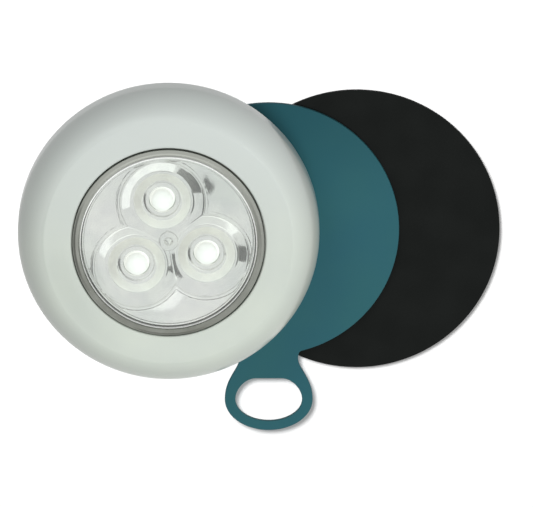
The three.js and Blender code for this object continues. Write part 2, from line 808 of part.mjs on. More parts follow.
// Lens: a clear disc with a slight crown
function lensCover() {
  const bevel = lensEdgeBevel;
  const rim = lensRadius - bevel;
  const crown = lensCrownShares.map((crownShare) =>
    [rim * crownShare, lensEdgeTop + lensCrown * (1 - crownShare ** 2)]);
  return turned([
    [0, lensBottom], [rim, lensBottom], [lensRadius, lensBottom + bevel],
    [lensRadius, lensEdgeTop - bevel], [rim, lensEdgeTop], ...crown, [0, bodyHeight],
  ], ringSides);
}

// Reflector: three bowls that overlap, each with a step to a smaller bowl and a hole for its diode
function bowlAngles() {
  const pitch = (2 * Math.PI) / diodeCount;
  return Array.from({ length: diodeCount }, (_, i) => Math.PI / 2 + bowlTurn + pitch * i);
}

function bowlPlaces() {
  return bowlAngles().map((angle) => [bowlCircle * Math.cos(angle), bowlCircle * Math.sin(angle)]);
}

function pegPlaces() {
  const between = Math.PI / diodeCount;
  return bowlAngles().map((angle) =>
    [pegCircle * Math.cos(angle + between), pegCircle * Math.sin(angle + between)]);
}

// Flat at its foot and steep at its rim
function bowlCurve([innerRadius, low], [outerRadius, high], steps) {
  return Array.from({ length: steps + 1 }, (_, i) =>
    [innerRadius + ((outerRadius - innerRadius) * i) / steps, low + (high - low) * (i / steps) ** 2]);
}

function bowlCut(x, y) {
  const holeRadius = diodeFlangeRadius + seatGap;
  const profile = [
    [0, bowlUnderside - cutOverrun],
    [holeRadius, bowlUnderside - cutOverrun],
    [holeRadius, bowlFloor],
    ...bowlCurve([bowlFloorRadius, bowlFloor], [innerBowlRadius, bowlStep], lowerBowlSteps),
    ...bowlCurve([bowlStepRadius, bowlStep], [bowlRadius, landTop], upperBowlSteps),
    [bowlRadius, landTop + cutOverrun],
    [0, landTop + cutOverrun],
  ];
  return turned(profile, bowlSides).translate([x, y, 0]);
}

function bowlShell(x, y) {
  const wall = plateWall;
  const profile = [
    [0, bowlUnderside],
    [bowlFloorRadius + wall, bowlUnderside],
    [innerBowlRadius + wall, bowlStep - wall],
    [bowlStepRadius + wall, bowlStep - wall],
    [(bowlStepRadius + bowlRadius) / 2 + wall, (bowlStep + landTop) / 2 - wall],
    [bowlRadius + wall, landTop - wall / 2],
    [0, landTop - wall / 2],
  ];
  return turned(profile, smallSides).translate([x, y, 0]);
}

function reflectorPlate() {
  const wallInner = reflectorRadius - dishRimWall;
  return turned([
    [0, landBottom], [reflectorRadius, landBottom], [reflectorRadius, dishRimTop],
    [wallInner, dishRimTop], [wallInner, landTop], [0, landTop],
  ], wideSides);
}

function reflector() {
  const limit = rod(boardRadius, bowlUnderside - cutOverrun, landTop, 0, 0, wideSides);
  const shells = joined(bowlPlaces().map(([x, y]) => bowlShell(x, y))).intersect(limit);
  const cuts = bowlPlaces().map(([x, y]) => bowlCut(x, y));
  const shoulders = pegPlaces().map(([x, y]) =>
    rod(pegRadius + pegShoulder, boardTop + seatGap, landBottom + plateWall / 2, x, y));
  const pegs = pegPlaces().map(([x, y]) => rod(pegRadius, boardBottom - legTail, landBottom, x, y));
  const open = cutFrom(joined([reflectorPlate(), shells, ...shoulders, ...pegs]), cuts);
  const boss = rod(bossTopRadius, bowlStep - plateWall / 2, landTop, 0, 0, smallSides);
  const dimple = rod(bossDimpleRadius, landTop - bossDimpleDepth, landTop + cutOverrun);
  return open.add(boss).subtract(dimple);
}

// Diode: a round body with a flange and two legs, standing on the board
function diode() {
  const shoulder = diodeHeight - diodeRadius * domeShare;
  const dome = ellipsePoints([0, shoulder], diodeRadius, diodeHeight - shoulder, 0, Math.PI / 2, domeSteps);
  const body = turned([
    [0, 0], [diodeFlangeRadius, 0], [diodeFlangeRadius, diodeFlangeHeight],
    [diodeRadius, diodeFlangeHeight], ...dome.slice(0, -1), [0, diodeHeight],
  ], smallSides);
  const legEnd = -(diodeLift + boardThickness + legTail);
  const legs = [legSpread, -legSpread].map((y) =>
    block(legWidth, legWidth, legEnd, diodeFlangeHeight / 2, 0, y));
  return joined([body, ...legs]);
}

// A place on the board, from shares of its radius
function onBoard(placeShares) {
  return placeShares.map((share) => share * boardRadius);
}

// Diode board, with a hole for every leg, peg and lead
function holeAt(x, y, radius) {
  return new THREE.Path().absarc(x, y, radius, 0, 2 * Math.PI, true);
}

function legHoles() {
  return bowlAngles().flatMap((angle) => [legSpread, -legSpread].map((along) => {
    const x = bowlCircle * Math.cos(angle) - along * Math.sin(angle);
    const y = bowlCircle * Math.sin(angle) + along * Math.cos(angle);
    return holeAt(x, y, legWidth / 2 + seatGap);
  }));
}

function diodeBoard() {
  const outline = new THREE.Shape().absarc(0, 0, boardRadius, 0, 2 * Math.PI, false);
  const legX = resistorHalfLength + resistorRadius;
  const [resistorX, resistorY] = onBoard(resistorShares);
  outline.holes.push(
    ...legHoles(),
    ...pegPlaces().map(([x, y]) => holeAt(x, y, pegRadius + seatGap)),
    ...[legX, -legX].map((along) => holeAt(resistorX + along, resistorY, legWidth / 2 + seatGap)),
    ...leadRoutes().filter(({ rises }) => rises).map(({ to }) => holeAt(...to, leadRadius + seatGap)),
  );
  return sheet(outline, boardThickness, 0, ringSides / 2, arcSteps);
}

// Series resistor, about its own middle on the board's face
function seriesResistor() {
  const axis = diodeLift + resistorRadius;
  const legX = resistorHalfLength + resistorRadius;
  const [radius, length] = [resistorRadius, 2 * resistorHalfLength];
  const barrel = new THREE.CylinderGeometry(radius, radius, length, holeSides);
  const body = toSolid(barrel.rotateZ(Math.PI / 2).translate(0, 0, axis));
  const wire = block(2 * legX, legWidth / 2, axis - legWidth / 4, axis + legWidth / 4);
  const legs = [legX, -legX].map((x) =>
    block(legWidth / 2, legWidth / 2, -boardThickness - legTail, axis + legWidth / 4, x, 0));
  return joined([body, wire, ...legs]);
}

// Leads run in the tray's channels, and two of them rise through the board
function leadRoutes() {
  const tabX = plateInner - seatGap - leadRadius;
  const switchEdge = switchSize / 2 + seatGap + leadRadius;
  const [plusTab, minusTab] = [[-tabX, cellPlaces()[0]], [tabX, cellPlaces()[cellCount - 1]]];
  const [minusPin, boardPin] = [[switchEdge, -plungerRadius], [-plungerRadius, -switchEdge]];
  return [
    { name: 'lead_red', from: plusTab, to: onBoard(redHoleShares), rises: true, finish: redLead },
    { name: 'lead_black', from: minusTab, to: minusPin, rises: false, finish: blackLead },
    { name: 'lead_grey', from: boardPin, to: onBoard(greyHoleShares), rises: true, finish: greyLead },
  ];
}

function lead({ from, to, rises }) {
  const level = trayTop - channelDepth + seatGap + leadRadius;
  const start = new THREE.Vector3(...from, level);
  const corner = new THREE.Vector3(...to, level);
  const along = corner.clone().sub(start).normalize();
  const path = new THREE.CurvePath();
  if (rises) {
    const bendStart = corner.clone().addScaledVector(along, -leadBend);
    const bendEnd = corner.clone().setZ(level + leadBend);
    path.add(new THREE.LineCurve3(start, bendStart));
    path.add(new THREE.QuadraticBezierCurve3(bendStart, corner, bendEnd));
    path.add(new THREE.LineCurve3(bendEnd, corner.clone().setZ(boardTop + leadTail)));
  } else {
    path.add(new THREE.LineCurve3(start, corner));
  }
  const section = new THREE.Shape(
    ellipsePoints([0, 0], leadRadius, leadRadius, 0, 2 * Math.PI, leadSides)
      .slice(0, -1).map(([x, y]) => new THREE.Vector2(x, y)));
  const steps = rises ? leadSteps : straightLeadSteps;
  return toSolid(new THREE.ExtrudeGeometry(section, { steps, extrudePath: path, bevelEnabled: false }));
}

// Assembly, body by body
function at(mesh, x, y, z, turn = 0) {
  mesh.position.set(x, y, z);
  mesh.rotation.z = turn;
  return mesh;
}

function cellMeshes() {
  return cellPlaces().map((y, i) => {
    const towards = i % 2 === 0 ? -1 : 1;
    const mesh = piece(`battery_${i + 1}`, cell(), cellJacket);
    const x = towards * (plateInner - seatGap - cellLength / 2);
    return at(mesh, x, y, cellAxis, towards < 0 ? Math.PI : 0);
  });
}

function screwMeshes() {
  return screwPlaces().map(([x, y], i) =>
    at(piece(`cover_screw_${i + 1}`, screw(), springSteel), x, y, screwSeat - seatGap));
}

function springMeshes() {
  const names = ['return_spring_upper', 'return_spring_lower'];
  return wellPlaces().map(([x, y], i) => at(piece(names[i], returnSpring(), springSteel), x, y, 0));
}

function diodeMeshes() {
  return bowlPlaces().map(([x, y], i) =>
    at(piece(`diode_${i + 1}`, diode(), diodeGlow), x, y, boardTop + diodeLift, bowlAngles()[i]));
}

function housingGroup() {
  return new THREE.Group().add(
    piece('front_cover', frontCover(), silverPaint),
    piece('rear_casing', rearCasing(), greyPlastic),
    ...contactMeshes(),
    ...cellMeshes(),
    ...screwMeshes(),
    ...springMeshes(),
    piece('switch_body', switchBody(), darkPlastic),
    ...leadRoutes().map((route) => piece(route.name, lead(route), route.finish)),
  );
}

function coverGroup() {
  return new THREE.Group().add(
    piece('battery_cover', batteryCover(), greyPlastic),
    piece('base_magnet', baseMagnet(), magnetPlating),
  );
}

function buttonGroup() {
  return new THREE.Group().add(
    piece('button_carrier', buttonCarrier(), smokedRim),
    piece('lens_cover', lensCover(), clearAcrylic),
    piece('reflector', reflector(), mirror),
    piece('diode_board', diodeBoard(), greenBoard).translateZ(boardBottom),
    ...diodeMeshes(),
    at(piece('series_resistor', seriesResistor(), resistorBody), ...onBoard(resistorShares), boardTop),
  );
}

function lampGroup() {
  const plunger = piece('switch_plunger', switchPlunger(), darkPlastic);
  return new THREE.Group().add(housingGroup(), coverGroup(), buttonGroup(), plunger);
}

function assembly() {
  const padGroup = new THREE.Group().add(
    piece('pad_film', padFilm(), adhesive),
    piece('mounting_pad', mountingPad(), blackRubber).translateZ(filmThickness),
  );
  const hangerGroup = new THREE.Group().add(piece('hanger_disc', hangerDisc(), teal));
  hangerGroup.position.set(-hangerShift, hangerRise, filmThickness + padThickness + seatGap);
  const lamp = lampGroup();
  lamp.position.set(-lampShift, lampRise, hangerThickness + seatGap);
  hangerGroup.add(lamp);
  const set = new THREE.Group().add(padGroup, hangerGroup);
  set.rotation.x = Math.PI / 2;
  return set;
}

export default assembly();
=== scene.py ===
"""A battery push light with its hanger disc and wall pad: the looks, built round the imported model.

Blender's world is in metres. Each sub-assembly is drawn in millimetres about its own axis, with +Z towards
the viewer, and is then set upright at its station, so that its front faces -Y.
"""
import logging
import math
from dataclasses import dataclass, field
from enum import Enum
from typing import Iterable, Sequence

import bmesh
import bpy
from mathutils import Matrix, Vector


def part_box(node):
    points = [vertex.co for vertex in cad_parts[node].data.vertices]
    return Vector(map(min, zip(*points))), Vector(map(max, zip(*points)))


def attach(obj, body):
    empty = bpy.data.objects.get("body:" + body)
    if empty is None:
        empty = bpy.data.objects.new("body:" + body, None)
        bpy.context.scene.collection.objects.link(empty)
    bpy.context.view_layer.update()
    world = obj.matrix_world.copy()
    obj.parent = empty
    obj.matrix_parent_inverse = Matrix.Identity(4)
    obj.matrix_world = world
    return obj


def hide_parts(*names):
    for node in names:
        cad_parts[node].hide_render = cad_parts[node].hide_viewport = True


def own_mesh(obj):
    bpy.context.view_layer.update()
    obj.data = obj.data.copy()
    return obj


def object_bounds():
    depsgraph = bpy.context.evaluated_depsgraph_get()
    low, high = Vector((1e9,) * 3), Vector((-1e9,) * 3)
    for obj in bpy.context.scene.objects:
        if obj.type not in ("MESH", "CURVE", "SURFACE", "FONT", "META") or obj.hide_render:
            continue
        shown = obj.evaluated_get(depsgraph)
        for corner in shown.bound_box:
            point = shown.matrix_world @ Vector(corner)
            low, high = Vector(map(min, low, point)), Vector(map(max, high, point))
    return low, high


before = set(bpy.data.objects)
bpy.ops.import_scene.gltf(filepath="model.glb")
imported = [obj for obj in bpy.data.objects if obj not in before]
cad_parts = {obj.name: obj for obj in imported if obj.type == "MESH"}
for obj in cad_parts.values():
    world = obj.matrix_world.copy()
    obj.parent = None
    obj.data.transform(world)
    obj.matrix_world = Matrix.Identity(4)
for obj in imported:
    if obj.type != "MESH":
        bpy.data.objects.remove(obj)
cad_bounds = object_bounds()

LOG = logging.getLogger("push_light")

# A millimetre in metres, and a full turn and a quarter turn in radians
MM = 0.001
TURN = 2 * math.pi
QUARTER = math.pi / 2

# Faces round a large form and round a fine one, and steps along a fillet, a coil's turn and round its wire
SMOOTH_SEGMENTS = 160
FINE_SEGMENTS = 64
FILLET_STEPS = 4
COIL_STEPS = 32
WIRE_SIDES = 12

# How far a flat's last point stands off its fillet and how near two points are one, in millimetres, and the
# angle from which an edge is sharp
GUARD = 0.02
WELD = 0.001
SHARP_ANGLE = math.radians(32)

# The bowls of the reflector, each with its diode
BOWLS = 3

# How many finer layers a noise has, and the stretches of it that turn into patches and into wear
NOISE_DETAIL = 3.0
PATCH_REACH = (0.35, 0.65)
WEAR_REACH = (0.3, 0.7)

# The sRGB curve: a straight line's slope up to the knee, then a power with an offset
SRGB_SLOPE = 12.92
SRGB_KNEE = 0.04045
SRGB_OFFSET = 0.055
SRGB_POWER = 2.4

Corner = tuple[float, float, float]
Point = tuple[float, float]
Placing = tuple[Sequence[float], float]
Object = bpy.types.Object
Tree = bpy.types.NodeTree
Socket = bpy.types.NodeSocket


class Body(Enum):
    """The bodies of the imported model, by what they are."""

    PAD = "pad"
    HANGER = "hanger"
    LAMP = "lamp"
    BUTTON = "button"
    PLUNGER = "plunger"
    REAR_COVER = "rear_cover"


class Mix(Enum):
    """What a Mix node mixes: its data type, the numbers of its two inputs and the number of its output."""

    VALUE = ("FLOAT", 2, 3, 0)
    COLOUR = ("RGBA", 6, 7, 2)


# Nodes, colours and trees


def linear(code: str) -> tuple[float, float, float, float]:
    """Turns an sRGB hex colour into linear light.

    Args:
        code: The colour, such as "#d3dad0".

    Returns:
        Red, green, blue and an alpha of one.
    """
    shares = [int(code[i:i + 2], 16) / 255 for i in (1, 3, 5)]
    parts = [c / SRGB_SLOPE if c <= SRGB_KNEE else ((c + SRGB_OFFSET) / (1 + SRGB_OFFSET)) ** SRGB_POWER
             for c in shares]
    return (*parts, 1.0)


def add_node(tree: Tree, kind: str, settings: dict | None = None,
             inputs: dict | None = None) -> bpy.types.Node:
    """Adds a node with its settings, and sets or links its inputs.

    Args:
        tree: The tree that gets the node.
        kind: The node's type name.
        settings: Its properties by name.
        inputs: Its inputs by name or number, each a value or another node's output.

    Returns:
        The new node.
    """
    node = tree.nodes.new(kind)
    for name, value in (settings or {}).items():
        setattr(node, name, value)
    for key, value in (inputs or {}).items():
        if isinstance(value, Socket):
            tree.links.new(value, node.inputs[key])
        else:
            node.inputs[key].default_value = value
    return node


def reckoned(tree: Tree, operation: str, first: Socket | float, second: Socket | float = 0.0,
             clamped: bool = False) -> Socket:
    """Adds a reckoning with one or two numbers.

    Args:
        tree: The tree.
        operation: What is done, by the Math node's own word.
        first: The first number.
        second: The second number, if it takes one.
        clamped: Whether the result is kept from zero to one.

    Returns:
        The result.
    """
    settings = {"operation": operation, "use_clamp": clamped}
    return add_node(tree, "ShaderNodeMath", settings, {0: first, 1: second}).outputs["Value"]


def facing(tree: Tree, way: Socket, towards: Sequence[float]) -> Socket:
    """Adds the cosine of the angle between a direction and a fixed one, both of length one."""
    node = add_node(tree, "ShaderNodeVectorMath", {"operation": "DOT_PRODUCT"}, {0: way, 1: towards})
    return node.outputs["Value"]


def remapped(tree: Tree, value: Socket, reach: Point, into: Point = (0.0, 1.0),
             eased: bool = False) -> Socket:
    """Adds a mapping of a value from one stretch to another.

    Args:
        tree: The tree.
        value: The value.
        reach: The ends of the stretch that it comes from.
        into: What those ends turn into.
        eased: Whether it leaves and meets the ends gently.

    Returns:
        The mapped value, which stays in the second stretch.
    """
    kind = "SMOOTHSTEP" if eased else "LINEAR"
    node = add_node(tree, "ShaderNodeMapRange", {"interpolation_type": kind}, {
        "Value": value, "From Min": reach[0], "From Max": reach[1], "To Min": into[0], "To Max": into[1]})
    return node.outputs["Result"]


def mixed(tree: Tree, kind: Mix, share: Socket, first: object, second: object) -> Socket:
    """Adds a mix of two colours or two values.

    Args:
        tree: The tree.
        kind: What is mixed.
        share: How much of the second one there is.
        first: The first one, as itself or as an output.
        second: The second one.

    Returns:
        The mix.
    """
    data_type, one, other, result = kind.value
    inputs = {"Factor": share, one: first, other: second}
    node = add_node(tree, "ShaderNodeMix", {"data_type": data_type}, inputs)
    return node.outputs[result]


def new_material(name: str) -> tuple[bpy.types.Material, Tree]:
    """Starts a material.

    Args:
        name: Its name.

    Returns:
        The material and its tree, which is empty.
    """
    made = bpy.data.materials.new(name)
    made.use_nodes = True
    made.node_tree.nodes.clear()
    return made, made.node_tree


def new_tree(name: str, sockets: dict[str, str]) -> tuple[Tree, bpy.types.Node]:
    """Starts a geometry tree with a geometry input and output and named inputs.

    Args:
        name: The tree's name.
        sockets: The type of each further input, by its name.

    Returns:
        The tree and its group input node.
    """
    tree = bpy.data.node_groups.new(name, "GeometryNodeTree")
    tree.interface.new_socket("Geometry", in_out="OUTPUT", socket_type="NodeSocketGeometry")
    tree.interface.new_socket("Geometry", in_out="INPUT", socket_type="NodeSocketGeometry")
    for label, kind in sockets.items():
        tree.interface.new_socket(label, in_out="INPUT", socket_type=kind)
    return tree, add_node(tree, "NodeGroupInput")


def end_tree(tree: Tree, geometry: Socket, finish: Socket) -> None:
    """Ends a geometry tree in Realize Instances and Set Material.

    Args:
        tree: The tree.
        geometry: The output that holds the instances.
        finish: The output that holds the material.
    """
    real = add_node(tree, "GeometryNodeRealizeInstances", inputs={"Geometry": geometry})
    dressed = add_node(tree, "GeometryNodeSetMaterial",
                       inputs={"Geometry": real.outputs["Geometry"], "Material": finish})
    add_node(tree, "NodeGroupOutput", inputs={"Geometry": dressed.outputs["Geometry"]})


def copies_tree() -> Tree:
    """Makes the tree that sets a copy of one piece at each point and turns it there.

    Returns:
        The tree, whose points carry a "turn" attribute in radians.
    """
    tree, given = new_tree("copies at points", {
        "Piece": "NodeSocketObject", "Weld": "NodeSocketFloat", "Finish": "NodeSocketMaterial"})
    piece = add_node(tree, "GeometryNodeObjectInfo", inputs={"Object": given.outputs["Piece"]})
    turn = add_node(tree, "GeometryNodeInputNamedAttribute", {"data_type": "FLOAT_VECTOR"}, {"Name": "turn"})
    set_out = add_node(tree, "GeometryNodeInstanceOnPoints", inputs={
        "Points": given.outputs["Geometry"], "Instance": piece.outputs["Geometry"],
        "Rotation": turn.outputs["Attribute"]})
    real = add_node(tree, "GeometryNodeRealizeInstances", inputs={"Geometry": set_out.outputs["Instances"]})
    welded = add_node(tree, "GeometryNodeMergeByDistance", inputs={
        "Geometry": real.outputs["Geometry"], "Distance": given.outputs["Weld"]})
    end_tree(tree, welded.outputs["Geometry"], given.outputs["Finish"])
    return tree


def coil_tree() -> Tree:
    """Makes the tree that winds a round wire into a compression spring at each point.

    Returns:
        The tree, with the coil's sizes as named inputs.
    """
    tree, given = new_tree("coil springs", {
        "Coil Radius": "NodeSocketFloat", "Wire Radius": "NodeSocketFloat", "Length": "NodeSocketFloat",
        "Turns": "NodeSocketFloat", "Finish": "NodeSocketMaterial"})
    spiral = add_node(tree, "GeometryNodeCurveSpiral", inputs={
        "Resolution": COIL_STEPS, "Rotations": given.outputs["Turns"],
        "Start Radius": given.outputs["Coil Radius"], "End Radius": given.outputs["Coil Radius"],
        "Height": given.outputs["Length"]})
    section = add_node(tree, "GeometryNodeCurvePrimitiveCircle", {"mode": "RADIUS"},
                       {"Resolution": WIRE_SIDES, "Radius": given.outputs["Wire Radius"]})
    wire = add_node(tree, "GeometryNodeCurveToMesh", inputs={
        "Curve": spiral.outputs["Curve"], "Profile Curve": section.outputs["Curve"], "Fill Caps": True})
    placed = add_node(tree, "GeometryNodeInstanceOnPoints", inputs={
        "Points": given.outputs["Geometry"], "Instance": wire.outputs["Mesh"]})
    end_tree(tree, placed.outputs["Instances"], given.outputs["Finish"])
    return tree


def grow(obj: Object, tree: Tree, values: dict[str, object]) -> None:
    """Runs a geometry tree on an object and keeps the result as its plain mesh.

    Args:
        obj: The object, whose mesh is the tree's geometry input.
        tree: The geometry tree.
        values: The tree's inputs by name.
    """
    modifier = obj.modifiers.new(tree.name, "NODES")
    modifier.node_group = tree
    for item in tree.interface.items_tree:
        if item.item_type == "SOCKET" and item.in_out == "INPUT" and item.name in values:
            modifier[item.identifier] = values[item.name]
    bake(obj)


def bake(obj: Object) -> None:
    """Replaces an object's mesh by what its modifiers make of it, and removes them.

    Args:
        obj: The object.
    """
    bpy.context.view_layer.update()
    graph = bpy.context.evaluated_depsgraph_get()
    made = bpy.data.meshes.new_from_object(obj.evaluated_get(graph))
    spent = obj.data
    obj.modifiers.clear()
    obj.data = made
    bpy.data.meshes.remove(spent)


# Forms


def rounded(corners: Sequence[Corner], closed: bool) -> list[Point]:
    """Rounds the corners of an outline, each by its own radius.

    Args:
        corners: Radius, height and fillet of each corner.
        closed: Whether the last corner joins the first.

    Returns:
        The outline's points, with a close neighbour at each end of a fillet so that flats shade flat.
    """
    points: list[Point] = []
    count = len(corners)
    for i, (x, y, fillet) in enumerate(corners):
        if fillet <= 0 or (not closed and i in (0, count - 1)):
            points.append((x, y))
            continue
        here = Vector((x, y))
        before = (Vector(corners[i - 1][:2]) - here).normalized()
        after = (Vector(corners[(i + 1) % count][:2]) - here).normalized()
        half = before.angle(after) / 2
        reach = fillet / math.tan(half)
        centre = here + (before + after).normalized() * (fillet / math.sin(half))
        start = here + before * reach - centre
        sweep = start.angle_signed(here + after * reach - centre)
        points.append(tuple(here + before * (reach + GUARD)))
        for step in range(FILLET_STEPS + 1):
            spoke = start.copy()
            spoke.rotate(Matrix.Rotation(-sweep * step / FILLET_STEPS, 2))
            points.append(tuple(centre + spoke))
        points.append(tuple(here + after * (reach + GUARD)))
    return points


def ellipse(centre: Point, width: float, height: float, start: float, end: float, steps: int) -> list[Point]:
    """Points along an ellipse of a half width and a half height, from one angle to another in radians."""
    angles = [start + (end - start) * i / steps for i in range(steps + 1)]
    return [(centre[0] + width * math.cos(a), centre[1] + height * math.sin(a)) for a in angles]


def bezier(a: Point, b: Point, c: Point, d: Point, steps: int) -> list[Point]:
    """Points along a cubic curve, without its last one.

    Args:
        a: Its start.
        b: Its first handle.
        c: Its second handle.
        d: Its end.
        steps: How many stretches the curve has.

    Returns:
        The points.
    """
    made = []
    for i in range(steps):
        t = i / steps
        weights = ((1 - t) ** 3, 3 * t * (1 - t) ** 2, 3 * t * t * (1 - t), t ** 3)
        made.append(tuple(sum(w * p[k] for w, p in zip(weights, (a, b, c, d))) for k in (0, 1)))
    return made


def polar(radius: float, angle: float, middle: Point = (0.0, 0.0)) -> Point:
    """The place at a distance from a middle, in the direction of an angle in radians."""
    return middle[0] + radius * math.cos(angle), middle[1] + radius * math.sin(angle)


def disc_profile(low: float, high: float, radius: float, edge: float) -> list[Point]:
    """The profile of a flat disc between two heights, with a fillet at each edge."""
    return rounded([(0, low, 0), (radius, low, edge), (radius, high, edge), (0, high, 0)], False)


def new_object(name: str, data: bpy.types.ID) -> Object:
    """Makes an object and links it to the scene.

    Args:
        name: Its name.
        data: Its mesh, curve, camera or lamp.

    Returns:
        The object.
    """
    obj = bpy.data.objects.new(name, data)
    bpy.context.scene.collection.objects.link(obj)
    return obj


class Form:
    """A mesh drawn in its station's own millimetres, with +Z towards the viewer."""

    def __init__(self, name: str) -> None:
        """Starts an empty form under the piece's name."""
        self.name = name
        self.mesh = bmesh.new()

    def turned(self, profile: Sequence[Point], segments: int = SMOOTH_SEGMENTS,
               at: Point = (0.0, 0.0)) -> "Form":
        """Adds a closed turned body.

        Args:
            profile: Radius and height of each point, from axis to axis or closing on itself.
            segments: How many faces go round.
            at: Where its axis stands.

        Returns:
            This form.
        """
        rings = []
        for radius, height in profile:
            count, reach = (1, 0) if radius < WELD else (segments, radius)
            spots = [polar(reach, TURN * k / segments, at) for k in range(count)]
            rings.append([self.mesh.verts.new((*spot, height)) for spot in spots])
        pairs = list(zip(rings, rings[1:]))
        if profile[0][0] >= WELD:
            pairs.append((rings[-1], rings[0]))
        for lower, upper in pairs:
            for k in range(segments):
                corners = [lower[k % len(lower)], lower[(k + 1) % len(lower)],
                           upper[(k + 1) % len(upper)], upper[k % len(upper)]]
                unique = list(dict.fromkeys(corners))
                if len(unique) > 2:
                    self.mesh.faces.new(unique)
        return self

    def prism(self, outline: Sequence[Point], low: float, high: float) -> "Form":
        """Adds an upright body with a flat outline.

        Args:
            outline: The outline's points.
            low: The height of its lower face.
            high: The height of its upper face.

        Returns:
            This form.
        """
        lower = [self.mesh.verts.new((x, y, low)) for x, y in outline]
        upper = [self.mesh.verts.new((x, y, high)) for x, y in outline]
        count = len(outline)
        self.mesh.faces.new(lower[::-1])
        self.mesh.faces.new(upper)
        for k in range(count):
            j = (k + 1) % count
            self.mesh.faces.new((lower[k], lower[j], upper[j], upper[k]))
        return self

    def made(self) -> Object:
        """Turns the form into an object whose faces point outwards.

        Returns:
            The object, still in millimetres.
        """
        bmesh.ops.recalc_face_normals(self.mesh, faces=self.mesh.faces)
        data = bpy.data.meshes.new(self.name)
        self.mesh.to_mesh(data)
        self.mesh.free()
        return new_object(self.name, data)


def points_object(name: str, places: Sequence[Placing]) -> Object:
    """Makes a mesh of loose points for a geometry tree.

    Args:
        name: The object's name.
        places: Each point's place and its turn about the upright axis in radians.

    Returns:
        The object.
    """
    data = bpy.data.meshes.new(name)
    data.from_pydata([Vector(place).to_3d() for place, _ in places], [], [])
    turns = data.attributes.new("turn", "FLOAT_VECTOR", "POINT")
    for item, (_, turn) in zip(turns.data, places):
        item.vector = (0.0, 0.0, turn)
    return new_object(name, data)


def copied(source: Object, places: Sequence[Placing], finish: bpy.types.Material,
           near: float = 0.0) -> Object:
    """Sets copies of a piece at points, as one plain mesh.

    Args:
        source: The piece, which is used up.
        places: Each copy's place and turn.
        finish: The material of the copies.
        near: How near two vertices are joined.

    Returns:
        The object that holds the copies.
    """
    name = source.name
    source.name = f"{name}_source"
    obj = points_object(name, places)
    grow(obj, TREES["copies"], {"Piece": source, "Weld": near, "Finish": finish})
    bpy.data.objects.remove(source)
    return obj


def carve(obj: Object, tool: Object) -> None:
    """Cuts one object out of another.

    Args:
        obj: The object that is cut.
        tool: What is cut away, which is used up.
    """
    cut = obj.modifiers.new("cut", "BOOLEAN")
    cut.operation = "DIFFERENCE"
    cut.solver = "EXACT"
    cut.object = tool
    bake(obj)
    bpy.data.objects.remove(tool)


def weld(data: bpy.types.Mesh, near: float, outwards: bool = False) -> None:
    """Joins the vertices of a mesh that lie at one place.

    Args:
        data: The mesh.
        near: How near two vertices are joined.
        outwards: Whether its faces are then turned outwards.
    """
    mesh = bmesh.new()
    mesh.from_mesh(data)
    bmesh.ops.remove_doubles(mesh, verts=mesh.verts, dist=near)
    if outwards:
        bmesh.ops.recalc_face_normals(mesh, faces=mesh.faces)
    mesh.to_mesh(data)
    mesh.free()


def shade(data: bpy.types.Mesh) -> None:
    """Shades a mesh smooth, but for its steep edges."""
    data.shade_smooth()
    data.set_sharp_from_angle(angle=SHARP_ANGLE)


@dataclass(frozen=True)
class Station:
    """Where a sub-assembly's own axis and rear face stand in the frame, in metres."""

    x: float
    y: float
    z: float

    @classmethod
    def behind(cls, round_node: str, rear_node: str) -> "Station":
        """Finds the station from a round node's middle and the back of the rearmost node.

        Args:
            round_node: A node that is round about the axis.
            rear_node: The node whose back is the rear face.

        Returns:
            The station.
        """
        low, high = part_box(round_node)
        middle = (low + high) / 2
        return cls(middle.x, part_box(rear_node)[1].y, middle.z)

    @property
    def matrix(self) -> Matrix:
        """Turns the station's own millimetres into the frame's metres."""
        upright = Matrix.Rotation(QUARTER, 4, "X")
        return Matrix.Translation((self.x, self.y, self.z)) @ upright @ Matrix.Scale(MM, 4)

    def heights(self, node: str) -> Point:
        """Lowest and highest reach of a node in front of the rear face, in millimetres."""
        low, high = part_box(node)
        return (self.y - high.y) / MM, (self.y - low.y) / MM

    def radius(self, node: str) -> float:
        """Half the width of a node that is round about the axis, in millimetres."""
        low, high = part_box(node)
        return (high.x - low.x) / 2 / MM

    def place(self, node: str) -> Point:
        """The middle of a node, seen from the front, in millimetres."""
        low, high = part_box(node)
        return ((low.x + high.x) / 2 - self.x) / MM, ((low.z + high.z) / 2 - self.z) / MM


# Finishes


